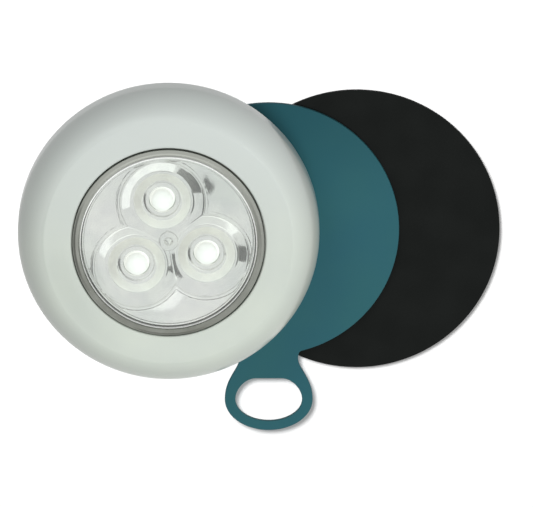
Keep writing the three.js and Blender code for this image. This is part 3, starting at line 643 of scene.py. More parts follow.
@dataclass(frozen=True)
class Finish:
    """A real material and how its surface was made. Lengths are in millimetres.

    Attributes:
        name: The material's common name.
        colour: Its main colour, as sRGB hex.
        tone: The colour that it drifts to in soft patches.
        roughness: How matte it is.
        metallic: How much of a metal it is, from zero to one.
        patch: The size of the soft patches.
        grain: The size of the surface grain.
        relief: The depth of the grain.
        wear: How much the roughness changes over the patches.
        coat: The strength of a clear coat.
        coat_roughness: How matte the clear coat is.
        specular: The strength of its mirror-like gloss.
        ior: Its index of refraction.
        painted_top_shading: Painted light or shade: the colour that it drifts to up the piece, if it does.
        painted_shading_heights: The heights in the frame between which that painted light or shade drifts.
    """

    name: str
    colour: str
    tone: str
    roughness: float
    metallic: float = 0.0
    patch: float = 8.0
    grain: float = 0.4
    relief: float = 0.01
    wear: float = 0.05
    coat: float = 0.0
    coat_roughness: float = 0.1
    specular: float = 0.5
    ior: float = 1.5
    painted_top_shading: str = ""
    painted_shading_heights: Point = (0.0, 30.0)

    def build(self) -> bpy.types.Material:
        """Makes the material.

        Returns:
            The material.
        """
        made, tree = new_material(self.name)
        place = add_node(tree, "ShaderNodeTexCoord").outputs["Object"]
        surface = add_node(tree, "ShaderNodeBsdfPrincipled", inputs={
            "Base Color": self.colouring(tree, place), "Roughness": self.mattness(tree, place),
            "Normal": self.grained(tree, place), **self.uniform()})
        add_node(tree, "ShaderNodeOutputMaterial", inputs={"Surface": self.ending(tree, surface)})
        return made

    def uniform(self) -> dict[str, float]:
        """The shader's values that are the same all over the surface."""
        return {"Metallic": self.metallic, "Coat Weight": self.coat, "Coat Roughness": self.coat_roughness,
                "Specular IOR Level": self.specular, "IOR": self.ior}

    def noise(self, tree: Tree, place: Socket, size: float) -> Socket:
        """Adds a noise, from zero to one, whose marks have a real size in millimetres."""
        return add_node(tree, "ShaderNodeTexNoise", inputs={
            "Vector": place, "Scale": 1 / (size * MM), "Detail": NOISE_DETAIL}).outputs["Fac"]

    def colouring(self, tree: Tree, place: Socket) -> Socket:
        """Adds the colour with its soft patches, and with painted light or shade up the piece if it has one.

        Args:
            tree: The material's tree.
            place: The coordinates.

        Returns:
            The colour.
        """
        patches = remapped(tree, self.noise(tree, place, self.patch), PATCH_REACH)
        colour = mixed(tree, Mix.COLOUR, patches, linear(self.colour), linear(self.tone))
        if not self.painted_top_shading:
            return colour
        # Painted light or shade: the colour changes up the piece to stand in for how the light falls there
        height = add_node(tree, "ShaderNodeSeparateXYZ", inputs={"Vector": place}).outputs["Z"]
        low, high = self.painted_shading_heights
        painted_shading_share = remapped(tree, height, (low * MM, high * MM), eased=True)
        return mixed(tree, Mix.COLOUR, painted_shading_share, colour, linear(self.painted_top_shading))

    def mattness(self, tree: Tree, place: Socket) -> Socket:
        """Adds the roughness, which changes with the wear."""
        worn = self.noise(tree, place, self.patch / 2)
        return remapped(tree, worn, WEAR_REACH, (self.roughness, self.roughness + self.wear))

    def grained(self, tree: Tree, place: Socket) -> Socket:
        """Adds the surface grain as a bump and returns its normal."""
        grain = self.noise(tree, place, self.grain)
        return add_node(tree, "ShaderNodeBump", inputs={
            "Height": grain, "Distance": self.relief * MM, "Strength": 1.0}).outputs["Normal"]

    def ending(self, tree: Tree, surface: bpy.types.Node) -> Socket:
        """The shader that ends the material. A plain finish ends in its own surface."""
        return surface.outputs["BSDF"]


@dataclass(frozen=True)
class ClearFinish(Finish):
    """A clear moulding, which lets light through.

    Attributes:
        edge_glow: How brightly its edge glows as a painted highlight, where its edge attribute is one.
    """

    edge_glow: float = 0.0

    def uniform(self) -> dict[str, float]:
        """The shader's even values, with full transmission."""
        return {**super().uniform(), "Transmission Weight": 1.0}

    def ending(self, tree: Tree, surface: bpy.types.Node) -> Socket:
        """Adds the edge's glow, a painted highlight, and lets the lamps light what lies behind the moulding.

        Args:
            tree: The material's tree.
            surface: The shader so far.

        Returns:
            The shader's output.
        """
        edge = add_node(tree, "ShaderNodeAttribute", {"attribute_name": "edge"}).outputs["Fac"]
        tree.links.new(reckoned(tree, "MULTIPLY", edge, self.edge_glow), surface.inputs["Emission Strength"])
        path = add_node(tree, "ShaderNodeLightPath")
        through = add_node(tree, "ShaderNodeBsdfTransparent", inputs={"Color": linear(self.tone)})
        parted = add_node(tree, "ShaderNodeMixShader", inputs={
            0: path.outputs["Is Shadow Ray"], 1: surface.outputs["BSDF"], 2: through.outputs["BSDF"]})
        return parted.outputs["Shader"]


@dataclass(frozen=True)
class GlowFinish(Finish):
    """A lit resin dome, whose light changes from its axis to its rim by the "rim" attribute.

    Attributes:
        light: The light's colour.
        glow: How bright it is on the axis.
        rim_glow: How bright it is at the rim.
        fade: The values of the attribute between which it changes.
    """

    light: str = "#ffffff"
    glow: float = 1.0
    rim_glow: float = 0.3
    fade: Point = (0.5, 1.15)

    def ending(self, tree: Tree, surface: bpy.types.Node) -> Socket:
        """Adds the light that the dome gives off.

        Args:
            tree: The material's tree.
            surface: The shader so far.

        Returns:
            The shader's output.
        """
        rim = add_node(tree, "ShaderNodeAttribute", {"attribute_name": "rim"}).outputs["Fac"]
        light = remapped(tree, rim, self.fade, (self.glow, self.rim_glow), eased=True)
        tree.links.new(light, surface.inputs["Emission Strength"])
        surface.inputs["Emission Color"].default_value = linear(self.light)
        return surface.outputs["BSDF"]


@dataclass(frozen=True)
class BandedFinish(Finish):
    """A finish with plain bands across X, such as a cell's jacket.

    Attributes:
        band_colour: The bands' colour.
        pitch: How far one band stands from the next.
        share: How much of the pitch a band takes up.
    """

    band_colour: str = "#000000"
    pitch: float = 10.0
    share: float = 0.5

    def colouring(self, tree: Tree, place: Socket) -> Socket:
        """Adds the colour with its bands.

        Args:
            tree: The material's tree.
            place: The coordinates.

        Returns:
            The colour.
        """
        across = add_node(tree, "ShaderNodeSeparateXYZ", inputs={"Vector": place}).outputs["X"]
        along = reckoned(tree, "FRACT", reckoned(tree, "DIVIDE", across, self.pitch * MM))
        inside = reckoned(tree, "LESS_THAN", along, self.share)
        return mixed(tree, Mix.COLOUR, inside, super().colouring(tree, place), linear(self.band_colour))


@dataclass(frozen=True)
class TracedFinish(Finish):
    """A circuit board's solder mask, with the copper tracks showing through it as lighter lines.

    Attributes:
        track_colour: The tracks' colour.
        track_pitch: How far apart they run.
        track_share: Half a track's width, as a share of the pitch.
    """

    track_colour: str = "#4c8a5c"
    track_pitch: float = 2.4
    track_share: float = 0.08

    def colouring(self, tree: Tree, place: Socket) -> Socket:
        """Adds the mask's colour with its tracks.

        Args:
            tree: The material's tree.
            place: The coordinates.

        Returns:
            The colour.
        """
        cells = add_node(tree, "ShaderNodeTexVoronoi", {"feature": "DISTANCE_TO_EDGE"},
                         {"Vector": place, "Scale": 1 / (self.track_pitch * MM)})
        line = reckoned(tree, "LESS_THAN", cells.outputs["Distance"], self.track_share)
        return mixed(tree, Mix.COLOUR, line, super().colouring(tree, place), linear(self.track_colour))


FINISHES: dict[str, Finish] = {
    # ABS sprayed with a pale silver lacquer: satin, with a very fine flake that is drawn coarser than it is
    # Its cooler tone up the piece is painted shade, for how the light falls on the top
    "silver_paint": Finish("sprayed silver lacquer", "#d2dacf", "#ced6cd", 0.4, metallic=0.2, patch=14,
                           grain=0.35, relief=0.0015, wear=0.04, coat=0.6, coat_roughness=0.16,
                           specular=0.3, painted_top_shading="#d3dad6", painted_shading_heights=(-10, 34)),
    # Sheet steel with a satin powder coat, whose orange peel softens its gloss
    # Its darker, bluer tone up the piece is painted shade, for how the light falls on the top
    "teal_coating": Finish("teal powder coat", "#2d5f65", "#2c5d67", 0.55, patch=18, grain=0.9, relief=0.006,
                           wear=0.08, specular=0.3, painted_top_shading="#225058", painted_shading_heights=(4, 32)),
    # Magnetic rubber sheet: matte, with a fine pebbled skin
    "black_rubber": Finish("black magnetic rubber", "#171918", "#1b1d1c", 0.78, patch=6, grain=0.5,
                           relief=0.03, wear=0.1, specular=0.12),
    # Acrylic foam tape: paper-white and matte, with shallow cells
    "adhesive_film": Finish("acrylic foam film", "#d9d3c2", "#e2dccd", 0.75, patch=3, grain=0.7, relief=0.04,
                            wear=0.1),
    # Smoked polycarbonate: glossy and brown-grey, so that it goes dark where nothing bright is mirrored
    # Its paler tone up the piece is painted light, for how the light falls on the top
    "smoked_rim": Finish("smoked polycarbonate", "#8f928a", "#7d8077", 0.12, metallic=0.7, patch=5, grain=1.2,
                         relief=0.004, wear=0.05, coat=0.5, coat_roughness=0.05, painted_top_shading="#a9aca4",
                         painted_shading_heights=(-16, 28)),
    # Clear acrylic, polished by its mould, with a painted highlight that glows along its edge
    "clear_acrylic": ClearFinish("clear acrylic", "#fbfdfc", "#f4f8f6", 0.0, patch=20, grain=9, relief=0.0008,
                                 wear=0.01, ior=1.49, edge_glow=0.36),
    # ABS metallised in a vacuum: a mirror that is a little uneven, as the moulding under it is
    "mirror_coating": Finish("vacuum-metallised plastic", "#f0f0ec", "#e9e9e7", 0.05, metallic=1.0, patch=4,
                             grain=2.2, relief=0.006, wear=0.04),
    # Epoxy resin over a lit chip with its yellow-white phosphor
    "diode_resin": GlowFinish("lit diode resin", "#bbbfbf", "#b7bbba", 0.15, patch=2, grain=0.8, relief=0.002,
                              coat=0.3, coat_roughness=0.08, light="#fffff6", glow=0.54, rim_glow=0.58),
    # ABS moulded in a spark-eroded tool: an even, fine satin texture
    "grey_plastic": Finish("moulded grey ABS", "#a2a8a3", "#9ca39e", 0.5, patch=10, grain=0.3, relief=0.012,
                           wear=0.08),
    # Nickel plate on a sintered magnet, with a little handling haze
    "nickel_plate": Finish("nickel-plated magnet", "#b9b7b2", "#a9a8a4", 0.22, metallic=1.0, patch=3,
                           grain=0.5, relief=0.004, wear=0.12),
    # Nickel-plated steel strip, rolled
    "nickel_strip": Finish("nickel-plated strip", "#c2c2bf", "#b4b4b2", 0.25, metallic=1.0, patch=3,
                           grain=0.25, relief=0.003, wear=0.1),
    # Drawn spring wire with faint drawing marks
    "spring_steel": Finish("drawn spring wire", "#a7abb0", "#8f9398", 0.3, metallic=1.0, patch=1.5,
                           grain=0.15, relief=0.003, wear=0.1),
    # Zinc-plated screw steel, with a grainy bright plate
    "screw_steel": Finish("zinc-plated screw", "#b5b8bd", "#a2a6ab", 0.32, metallic=1.0, patch=1.2, grain=0.2,
                          relief=0.004, wear=0.12),
    # A shrunk film jacket in two plain colours
    "cell_jacket": BandedFinish("cell jacket", "#3c4a58", "#394653", 0.3, patch=9, grain=1.5, relief=0.004,
                                coat=0.4, band_colour="#b8bcc0", pitch=48, share=0.12),
    # Glass-fibre board under a green solder mask
    "green_board": TracedFinish("green solder mask", "#2f6b45", "#2b6440", 0.35, patch=4, grain=0.4,
                                relief=0.006, coat=0.3),
    # Lacquered ceramic resistor with plain rings
    "resistor_body": BandedFinish("resistor lacquer", "#c9b48a", "#c2ac80", 0.35, patch=1, grain=0.3,
                                  relief=0.004, coat=0.3, band_colour="#6b4a34", pitch=0.8, share=0.35),
    # Glass-filled nylon, black and dry
    "dark_plastic": Finish("black nylon", "#2a2c2c", "#303332", 0.55, patch=2, grain=0.2, relief=0.008),
    # Soft vinyl insulation
    **{f"{name}_lead": Finish(f"{name} vinyl insulation", colour, tone, 0.4, patch=2, grain=0.3, relief=0.003)
       for name, colour, tone in (("red", "#a8231f", "#9c201c"), ("black", "#1b1b1c", "#222223"),
                                  ("grey", "#7f8284", "#777a7c"))},
}

# The materials and the geometry trees made so far, by their names here
MATERIALS: dict[str, bpy.types.Material] = {}
TREES: dict[str, Tree] = {}


def material(slot: str) -> bpy.types.Material:
    """The material of a slot, made when it is first asked for."""
    if slot not in MATERIALS:
        MATERIALS[slot] = FINISHES[slot].build()
    return MATERIALS[slot]


# Sub-assemblies


def numbered(stem: str, count: int) -> list[str]:
    """The names of nodes that are alike, numbered from one."""
    return [f"{stem}_{i}" for i in range(1, count + 1)]


@dataclass
class SubAssembly:
    """A group of pieces about one axis.

    Attributes:
        station: Where its axis and rear face stand.
        pieces: What has been built so far.
    """

    station: Station
    pieces: list[Object] = field(default_factory=list)

    def build(self) -> list[Object]:
        """Builds and dresses the pieces.

        Returns:
            The pieces.
        """
        self.make()
        return self.pieces

    def make(self) -> None:
        """Makes each piece in turn."""
        raise NotImplementedError

    def seat(self, obj: Object, body: Body, slot: str, *nodes: str) -> None:
        """Sets a piece that is in the station's own millimetres upright in its place, and dresses it."""
        obj.data.transform(self.station.matrix)
        self.dress(obj, body, slot, *nodes)

    def dress(self, obj: Object, body: Body, slot: str, *nodes: str) -> None:
        """Shades and finishes a piece that is in place, and lets it stand for its nodes.

        Args:
            obj: The piece.
            body: The body that it rides on.
            slot: The material slot of its finish.
            nodes: The nodes that it replaces.
        """
        shade(obj.data)
        obj.data.materials.clear()
        obj.data.materials.append(material(slot))
        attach(obj, body.value)
        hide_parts(*nodes)
        self.pieces.append(obj)

    def smoothed(self, node: str, body: Body, slot: str, name: str = "") -> None:
        """Stands a welded, smoothly shaded copy of a node in its place.

        Args:
            node: The node.
            body: The body that it rides on.
            slot: The material slot of its finish.
            name: The piece's name, if it isn't the node's with an ending.
        """
        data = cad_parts[node].data.copy()
        weld(data, WELD * MM)
        self.dress(new_object(name or f"{node}_finish", data), body, slot, node)


@dataclass
class WallPad(SubAssembly):
    """The magnetic rubber pad and the foam film that holds it on the wall. Sizes in millimetres."""

    edge: float = 0.25
    film_edge: float = 0.08

    def make(self) -> None:
        """Makes the pad and its film."""
        for name, node, slot, edge in (("wall_pad", "mounting_pad", "black_rubber", self.edge),
                                       ("foam_film", "pad_film", "adhesive_film", self.film_edge)):
            profile = disc_profile(*self.station.heights(node), self.station.radius(node), edge)
            self.seat(Form(name).turned(profile).made(), Body.PAD, slot, node)


@dataclass
class Hanger(SubAssembly):
    """The coated steel disc with its neck and loop.

    Sizes are in millimetres, and what is below the disc counts from its edge.
    """

    neck_half: float = 6.6
    neck_length: float = 0.9
    neck_fillet: float = 0.8
    loop_half: float = 9.9
    loop_below_disc: float = 10.4
    loop_half_height: float = 7.2
    side_band: float = 2.4
    end_band: float = 2.2
    hole_below_disc: float = 5.5
    hole_flat_half: float = 2.9
    hole_corner_share: float = 0.5
    edge: float = 0.22
    steps: int = 28
    edge_steps: int = 3
    flat_cosine: float = 0.999

    def outline(self, radius: float) -> list[Point]:
        """The disc's outline with the neck and the loop.

        Args:
            radius: The disc's radius.

        Returns:
            The points, once round.
        """
        root_x = self.neck_half + self.neck_fillet
        root = (root_x, -math.sqrt(radius ** 2 - root_x ** 2))
        meeting = (self.neck_half, -math.sqrt(radius ** 2 - self.neck_half ** 2))
        neck = (self.neck_half, -(radius + self.neck_length))
        loop = -(radius + self.loop_below_disc)
        ease = (neck[1] - loop) / 2
        first, second = (tuple((end[k] + 2 * meeting[k]) / 3 for k in (0, 1)) for end in (root, neck))
        right = bezier(root, first, second, neck, self.steps // 3)
        right += bezier(neck, (self.neck_half, neck[1] - ease / 2), (self.loop_half, loop + ease),
                        (self.loop_half, loop), self.steps)
        bottom = ellipse((0, loop), self.loop_half, self.loop_half_height, 0, -math.pi, 2 * self.steps)
        left = [(-x, y) for x, y in reversed(right)]
        start = math.atan2(root[1], root[0])
        disc = ellipse((0, 0), radius, radius, math.pi - start, start, SMOOTH_SEGMENTS)
        return right + bottom + left + disc[1:-1]

    def hole(self, radius: float) -> list[Point]:
        """The loop's hole: flat above with wide round corners, and half an ellipse below.

        Args:
            radius: The disc's radius.

        Returns:
            The points, once round.
        """
        half, loop = self.loop_half - self.side_band, -(radius + self.loop_below_disc)
        top = -(radius + self.hole_below_disc)
        flat = self.hole_flat_half
        side = loop + (top - loop) * self.hole_corner_share
        handle = flat + (half - flat) * self.hole_corner_share
        bottom = ellipse((0, loop), half, self.loop_half_height - self.end_band, 0, -math.pi, 2 * self.steps)
        left = bezier((-half, loop), (-half, side), (-handle, top), (-flat, top), self.steps)
        right = bezier((flat, top), (handle, top), (half, side), (half, loop), self.steps)
        return bottom + left[1:] + [(-flat, top)] + right

    def flat_curve(self, outlines: Sequence[Sequence[Point]], thickness: float) -> bpy.types.Curve:
        """Draws a filled plate with rounded edges.

        Args:
            outlines: The plate's outline and its hole's.
            thickness: How thick it is.

        Returns:
            The curve, with its middle plane at height zero.
        """
        flat = bpy.data.curves.new("hanger_outline", "CURVE")
        flat.dimensions = "2D"
        flat.fill_mode = "BOTH"
        for points in outlines:
            spline = flat.splines.new("POLY")
            spline.points.add(len(points) - 1)
            for target, (x, y) in zip(spline.points, points):
                target.co = (x, y, 0, 1)
            spline.use_cyclic_u = True
        flat.extrude = thickness / 2 - self.edge
        flat.bevel_depth = self.edge
        flat.bevel_resolution = self.edge_steps
        flat.offset = -self.edge
        return flat

    def make(self) -> None:
        """Cuts the disc from its outline and rounds its edges."""
        low, high = self.station.heights("hanger_disc")
        radius = self.station.radius("hanger_disc")
        flat = self.flat_curve((self.outline(radius), self.hole(radius)), high - low)
        drawn = new_object("hanger_outline", flat)
        bpy.context.view_layer.update()
        data = bpy.data.meshes.new_from_object(drawn.evaluated_get(bpy.context.evaluated_depsgraph_get()))
        bpy.data.objects.remove(drawn)
        data.transform(Matrix.Translation((0, 0, (low + high) / 2)))
        weld(data, WELD, outwards=True)
        self.seat(new_object("hanger", data), Body.HANGER, "teal_coating", "hanger_disc")
        for face in data.polygons:
            face.use_smooth = abs(face.normal.y) < self.flat_cosine


@dataclass
class Housing(SubAssembly):
    """The front cover with its bosses, the rear casing and what is fixed in them. Sizes in millimetres."""

    cover_wall: float = 1.8
    bezel_drop: float = 0.25
    bezel_round: float = 0.5
    bezel_steps: int = 8
    shoulder_width: float = 6.0
    shoulder_height: float = 8.5
    bulge_share: float = 0.65
    band_height: float = 3.5
    skirt_width: float = 2.85
    lip_depth: float = 1.9
    overhang: float = 3.75
    gap: float = 0.3
    button_clearance: float = 0.4
    flange_width: float = 1.9
    boss_radius: float = 2.2
    boss_edge: float = 0.2
    pilot_radius: float = 1.3
    screw_count: int = 4
    head_radius: float = 1.9
    head_height: float = 1.2
    head_edge: float = 0.35
    shank_radius: float = 1.1
    shank_edge: float = 0.1
    root_share: float = 0.8
    slot_width: float = 0.5
    slot_depth: float = 0.5
    slot_turn: float = math.pi / 3
    thread_pitch: float = 0.9
    thread_shares: Point = (1 / 3, 2 / 3)
    overrun: float = 1.0
    wire_radius: float = 0.25
    spring_turns: float = 4.0
    cell_count: int = 3
    cell_edge: float = 0.5
    nub_radius: float = 1.9
    nub_height: float = 0.8
    nub_foot: float = 0.8
    nub_step: float = 0.1
    nub_edge: float = 0.25
    steps: int = 40

    def make(self) -> None:
        """Makes the housing's pieces."""
        self.front_cover()
        self.smoothed("rear_casing", Body.LAMP, "grey_plastic", "casing")
        self.cover_screws()
        self.return_springs()
        self.cells()
        for node in ("plus_contact", "minus_contact", "bridge_contact_left", "bridge_contact_right"):
            self.smoothed(node, Body.LAMP, "nickel_strip")
        self.smoothed("switch_body", Body.LAMP, "dark_plastic")
        self.smoothed("switch_plunger", Body.PLUNGER, "dark_plastic")
        for colour in ("red", "black", "grey"):
            self.smoothed(f"lead_{colour}", Body.LAMP, f"{colour}_lead")

    def front_cover(self) -> None:
        """Turns the wide rounded ring, with its lip at the opening, and sets its screw bosses."""
        bottom, top = self.station.heights("front_cover")
        radius = self.station.radius("front_cover")
        opening = self.station.radius("button_carrier") - self.flange_width + self.button_clearance
        shoulder = (radius - self.shoulder_width, top - self.shoulder_height)
        band = shoulder[1] - self.band_height
        skirt = (radius - self.skirt_width, band)
        lip = top - self.bezel_drop - self.lip_depth
        edge = (opening + self.bezel_round, top - self.bezel_drop - self.bezel_round)
        outer = ellipse(edge, self.bezel_round, self.bezel_round, math.pi, QUARTER, self.bezel_steps)
        outer += self.shoulder(shoulder, self.shoulder_width, self.shoulder_height)
        outer += ellipse(skirt, self.skirt_width, band - bottom, 0, -QUARTER, self.steps // 2)
        wall = self.cover_wall
        bore = radius - self.overhang + self.gap
        inner = [(bore, bottom), (bore, bottom + wall), (radius - wall, band)]
        inner += self.shoulder(shoulder, self.shoulder_width - wall, self.shoulder_height - wall)[::-1]
        inner += [(opening + self.flange_width, lip), (opening, lip)]
        form = Form("cover_ring").turned(outer + inner)
        seat = self.station.heights("switch_body")[0]
        corners = [(self.pilot_radius, seat, 0), (self.boss_radius, seat, self.boss_edge),
                   (self.boss_radius, lip + wall / 2, 0), (self.pilot_radius, lip + wall / 2, 0)]
        for name in numbered("cover_screw", self.screw_count):
            form.turned(rounded(corners, True), FINE_SEGMENTS // 2, self.station.place(name))
        self.seat(form.made(), Body.LAMP, "silver_paint", "front_cover")

    def shoulder(self, foot: Point, width: float, height: float) -> list[Point]:
        """Points down the cover's shoulder, whose curve runs a little straighter than an ellipse.

        Halfway round, it reaches bulge_share of its width and of its height.

        Args:
            foot: The point under the shoulder's top and level with its side.
            width: How far the side stands out from there.
            height: How high the top stands over it.

        Returns:
            The points from the top to the side.
        """
        power = 2 * math.log(self.bulge_share, 0.5)
        angles = [QUARTER * i / self.steps for i in range(self.steps + 1)]
        return [(foot[0] + width * math.sin(a) ** power, foot[1] + height * max(math.cos(a), 0) ** power)
                for a in angles]

    def cover_screws(self) -> None:
        """Makes one slotted screw with a rolled thread, and sets four of them."""
        names = numbered("cover_screw", self.screw_count)
        low, high = self.station.heights(names[0])
        seat = low + self.head_height
        shank = self.shank_radius
        tip = high - shank
        profile = rounded([
            (0, low, 0), (self.head_radius, low, self.head_edge), (self.head_radius, seat, self.shank_edge),
            (shank, seat, self.shank_edge), (shank, tip, 0)], False)
        root = shank * self.root_share
        pitch = self.thread_pitch
        root_end, crest = (pitch * share for share in self.thread_shares)
        for i in range(int((tip - seat) / pitch) - 1):
            foot = seat + pitch * (i + 0.5)
            profile[-1:-1] = [(root, foot), (root, foot + root_end), (shank, foot + crest)]
        blank = Form("cover_screws").turned(profile + [(0, high)], FINE_SEGMENTS // 2).made()
        half, long = self.slot_width / 2, 2 * self.head_radius
        slot = Form("slot").prism([(-long, -half), (long, -half), (long, half), (-long, half)],
                                  low - self.overrun, low + self.slot_depth)
        carve(blank, slot.made())
        places = [(self.station.place(name), i * self.slot_turn) for i, name in enumerate(names)]
        self.seat(copied(blank, places, material("screw_steel")), Body.LAMP, "screw_steel", *names)

    def return_springs(self) -> None:
        """Winds the two springs that lift the button."""
        for end in ("upper", "lower"):
            node = f"return_spring_{end}"
            low, high = self.station.heights(node)
            coil = self.station.radius(node) - self.wire_radius
            length = high - low - 2 * self.wire_radius
            obj = points_object(f"coil_{end}", [((*self.station.place(node), low + self.wire_radius), 0.0)])
            grow(obj, TREES["coil"], {
                "Coil Radius": coil, "Wire Radius": self.wire_radius, "Length": length,
                "Turns": self.spring_turns, "Finish": material("spring_steel")})
            self.seat(obj, Body.LAMP, "spring_steel", node)
            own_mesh(obj)

    def cells(self) -> None:
        """Turns one cell with its rolled edges and nub, and lays three of them head to tail."""
        names = numbered("battery", self.cell_count)
        low, high = self.station.heights(names[0])
        radius = (high - low) / 2
        half = self.station.radius(names[0])
        neck = half - self.nub_height
        nub = self.nub_radius
        corners = [(0, -half, 0), (radius, -half, self.cell_edge), (radius, neck, self.cell_edge),
                   (nub + self.nub_foot, neck, 0), (nub, neck + self.nub_step, 0), (nub, half, self.nub_edge),
                   (0, half, 0)]
        one = Form("cells").turned(rounded(corners, False), FINE_SEGMENTS).made()
        one.data.transform(Matrix.Rotation(QUARTER, 4, "Y"))
        places = [((*self.station.place(name), (low + high) / 2), math.pi * ((i + 1) % 2))
                  for i, name in enumerate(names)]
        self.seat(copied(one, places, material("cell_jacket")), Body.LAMP, "cell_jacket", *names)


@dataclass
class BatteryCover(SubAssembly):
    """The twist-off cover with its lugs, its finger recesses and its magnet. Sizes in millimetres."""

    magnet_edge: float = 0.2

    def make(self) -> None:
        """Makes the cover and its magnet."""
        self.smoothed("battery_cover", Body.REAR_COVER, "grey_plastic", "twist_cover")
        node = "base_magnet"
        profile = disc_profile(*self.station.heights(node), self.station.radius(node), self.magnet_edge)
        self.seat(Form("holding_magnet").turned(profile).made(), Body.REAR_COVER, "nickel_plate", node)


@dataclass(frozen=True)
class BowlShape:
    """The mirrored bowls: where they lie and how deep they are at each radius, in millimetres.

    Attributes:
        circle: How far each bowl's middle lies from the axis.
        hole: The radius of the hole for the diode.
        inner: The radius of the inner bowl's rim.
        step: The radius where the outer bowl starts.
        rim: The outer bowl's radius.
        floor: The height of the floor.
        ledge: The height of the step.
        land: The height of the flat lands.
        collar: The outer radius of the raised collar round the hole.
        groove: The radius where the inner bowl's wall starts.
        collar_height: How far the collar stands up.
        power: How the inner wall curves, from one for a cone to two for a bowl. The outer wall is a cone.
        soft: How much the ridges are rounded.
        bead_height: How far the rounded bead along the rim stands up.
        bead_width: The bead's width.
    """

    circle: float
    hole: float
    inner: float
    step: float
    rim: float
    floor: float
    ledge: float
    land: float
    collar: float = 3.65
    groove: float = 4.2
    collar_height: float = 0.3
    power: float = 1.35
    soft: float = 0.14
    bead_height: float = 0.26
    bead_width: float = 0.85

    @staticmethod
    def blend(a: float, b: float, soft: float) -> float:
        """The lower of two heights, rounded where they are alike."""
        share = max(soft - abs(a - b), 0) / soft
        return min(a, b) - share * share * soft / 4

    def bowl(self, radius: float) -> float:
        """The height of one bowl.

        Args:
            radius: How far from the bowl's own middle.

        Returns:
            The height.
        """
        fall = min(max((radius - self.collar) / (self.groove - self.collar), 0), 1)
        foot = self.floor + self.collar_height * (1 + math.cos(math.pi * fall)) / 2
        climb = max(radius - self.groove, 0) / (self.inner - self.groove)
        lower = foot + (self.ledge - self.floor) * climb ** self.power
        climb = max(radius - self.step, 0) / (self.rim - self.step)
        upper = self.ledge + (self.land - self.ledge) * climb
        return self.blend(lower, upper, self.soft / 2)

    def bead(self, radius: float) -> float:
        """How far the bead stands up at a radius from the bowl's middle."""
        across = abs(radius - self.rim - self.bead_width / 2) / (self.bead_width / 2)
        return self.bead_height * math.sqrt(max(1 - across * across, 0))

    def height(self, x: float, y: float) -> float:
        """The reflector's height at a place, with the first bowl's middle on +X.

        Args:
            x: The place's X.
            y: The place's Y.

        Returns:
            The height.
        """
        radii = [math.dist((x, y), polar(self.circle, TURN * k / BOWLS)) for k in range(BOWLS)]
        heights = sorted([self.land] + [self.bowl(radius) for radius in radii])
        return self.blend(heights[0], heights[1], self.soft) + self.bead(min(radii))

    def reach(self, angle: float) -> float:
        """How far a ray from the bowl's middle runs to its rim or to the ridge to the next bowl.

        Args:
            angle: The ray's angle from the line that leads outwards, in radians.

        Returns:
            The ray's length.
        """
        side = math.sin(abs(angle) - math.pi / BOWLS)
        if side <= 0:
            return self.rim
        return min(self.rim, self.circle * math.sin(math.pi / BOWLS) / side)

    @property
    def cusp(self) -> float:
        """The ray's angle at which the rim meets the ridge."""
        return math.pi / BOWLS + math.asin(self.circle * math.sin(math.pi / BOWLS) / self.rim)


def graded(start: float, end: float, steps: int, power: float = 1.8) -> list[float]:
    """The values after the start, up to the end, which crowd towards the end by a power."""
    return [start + (end - start) * (1 - (1 - i / steps) ** power) for i in range(1, steps + 1)]


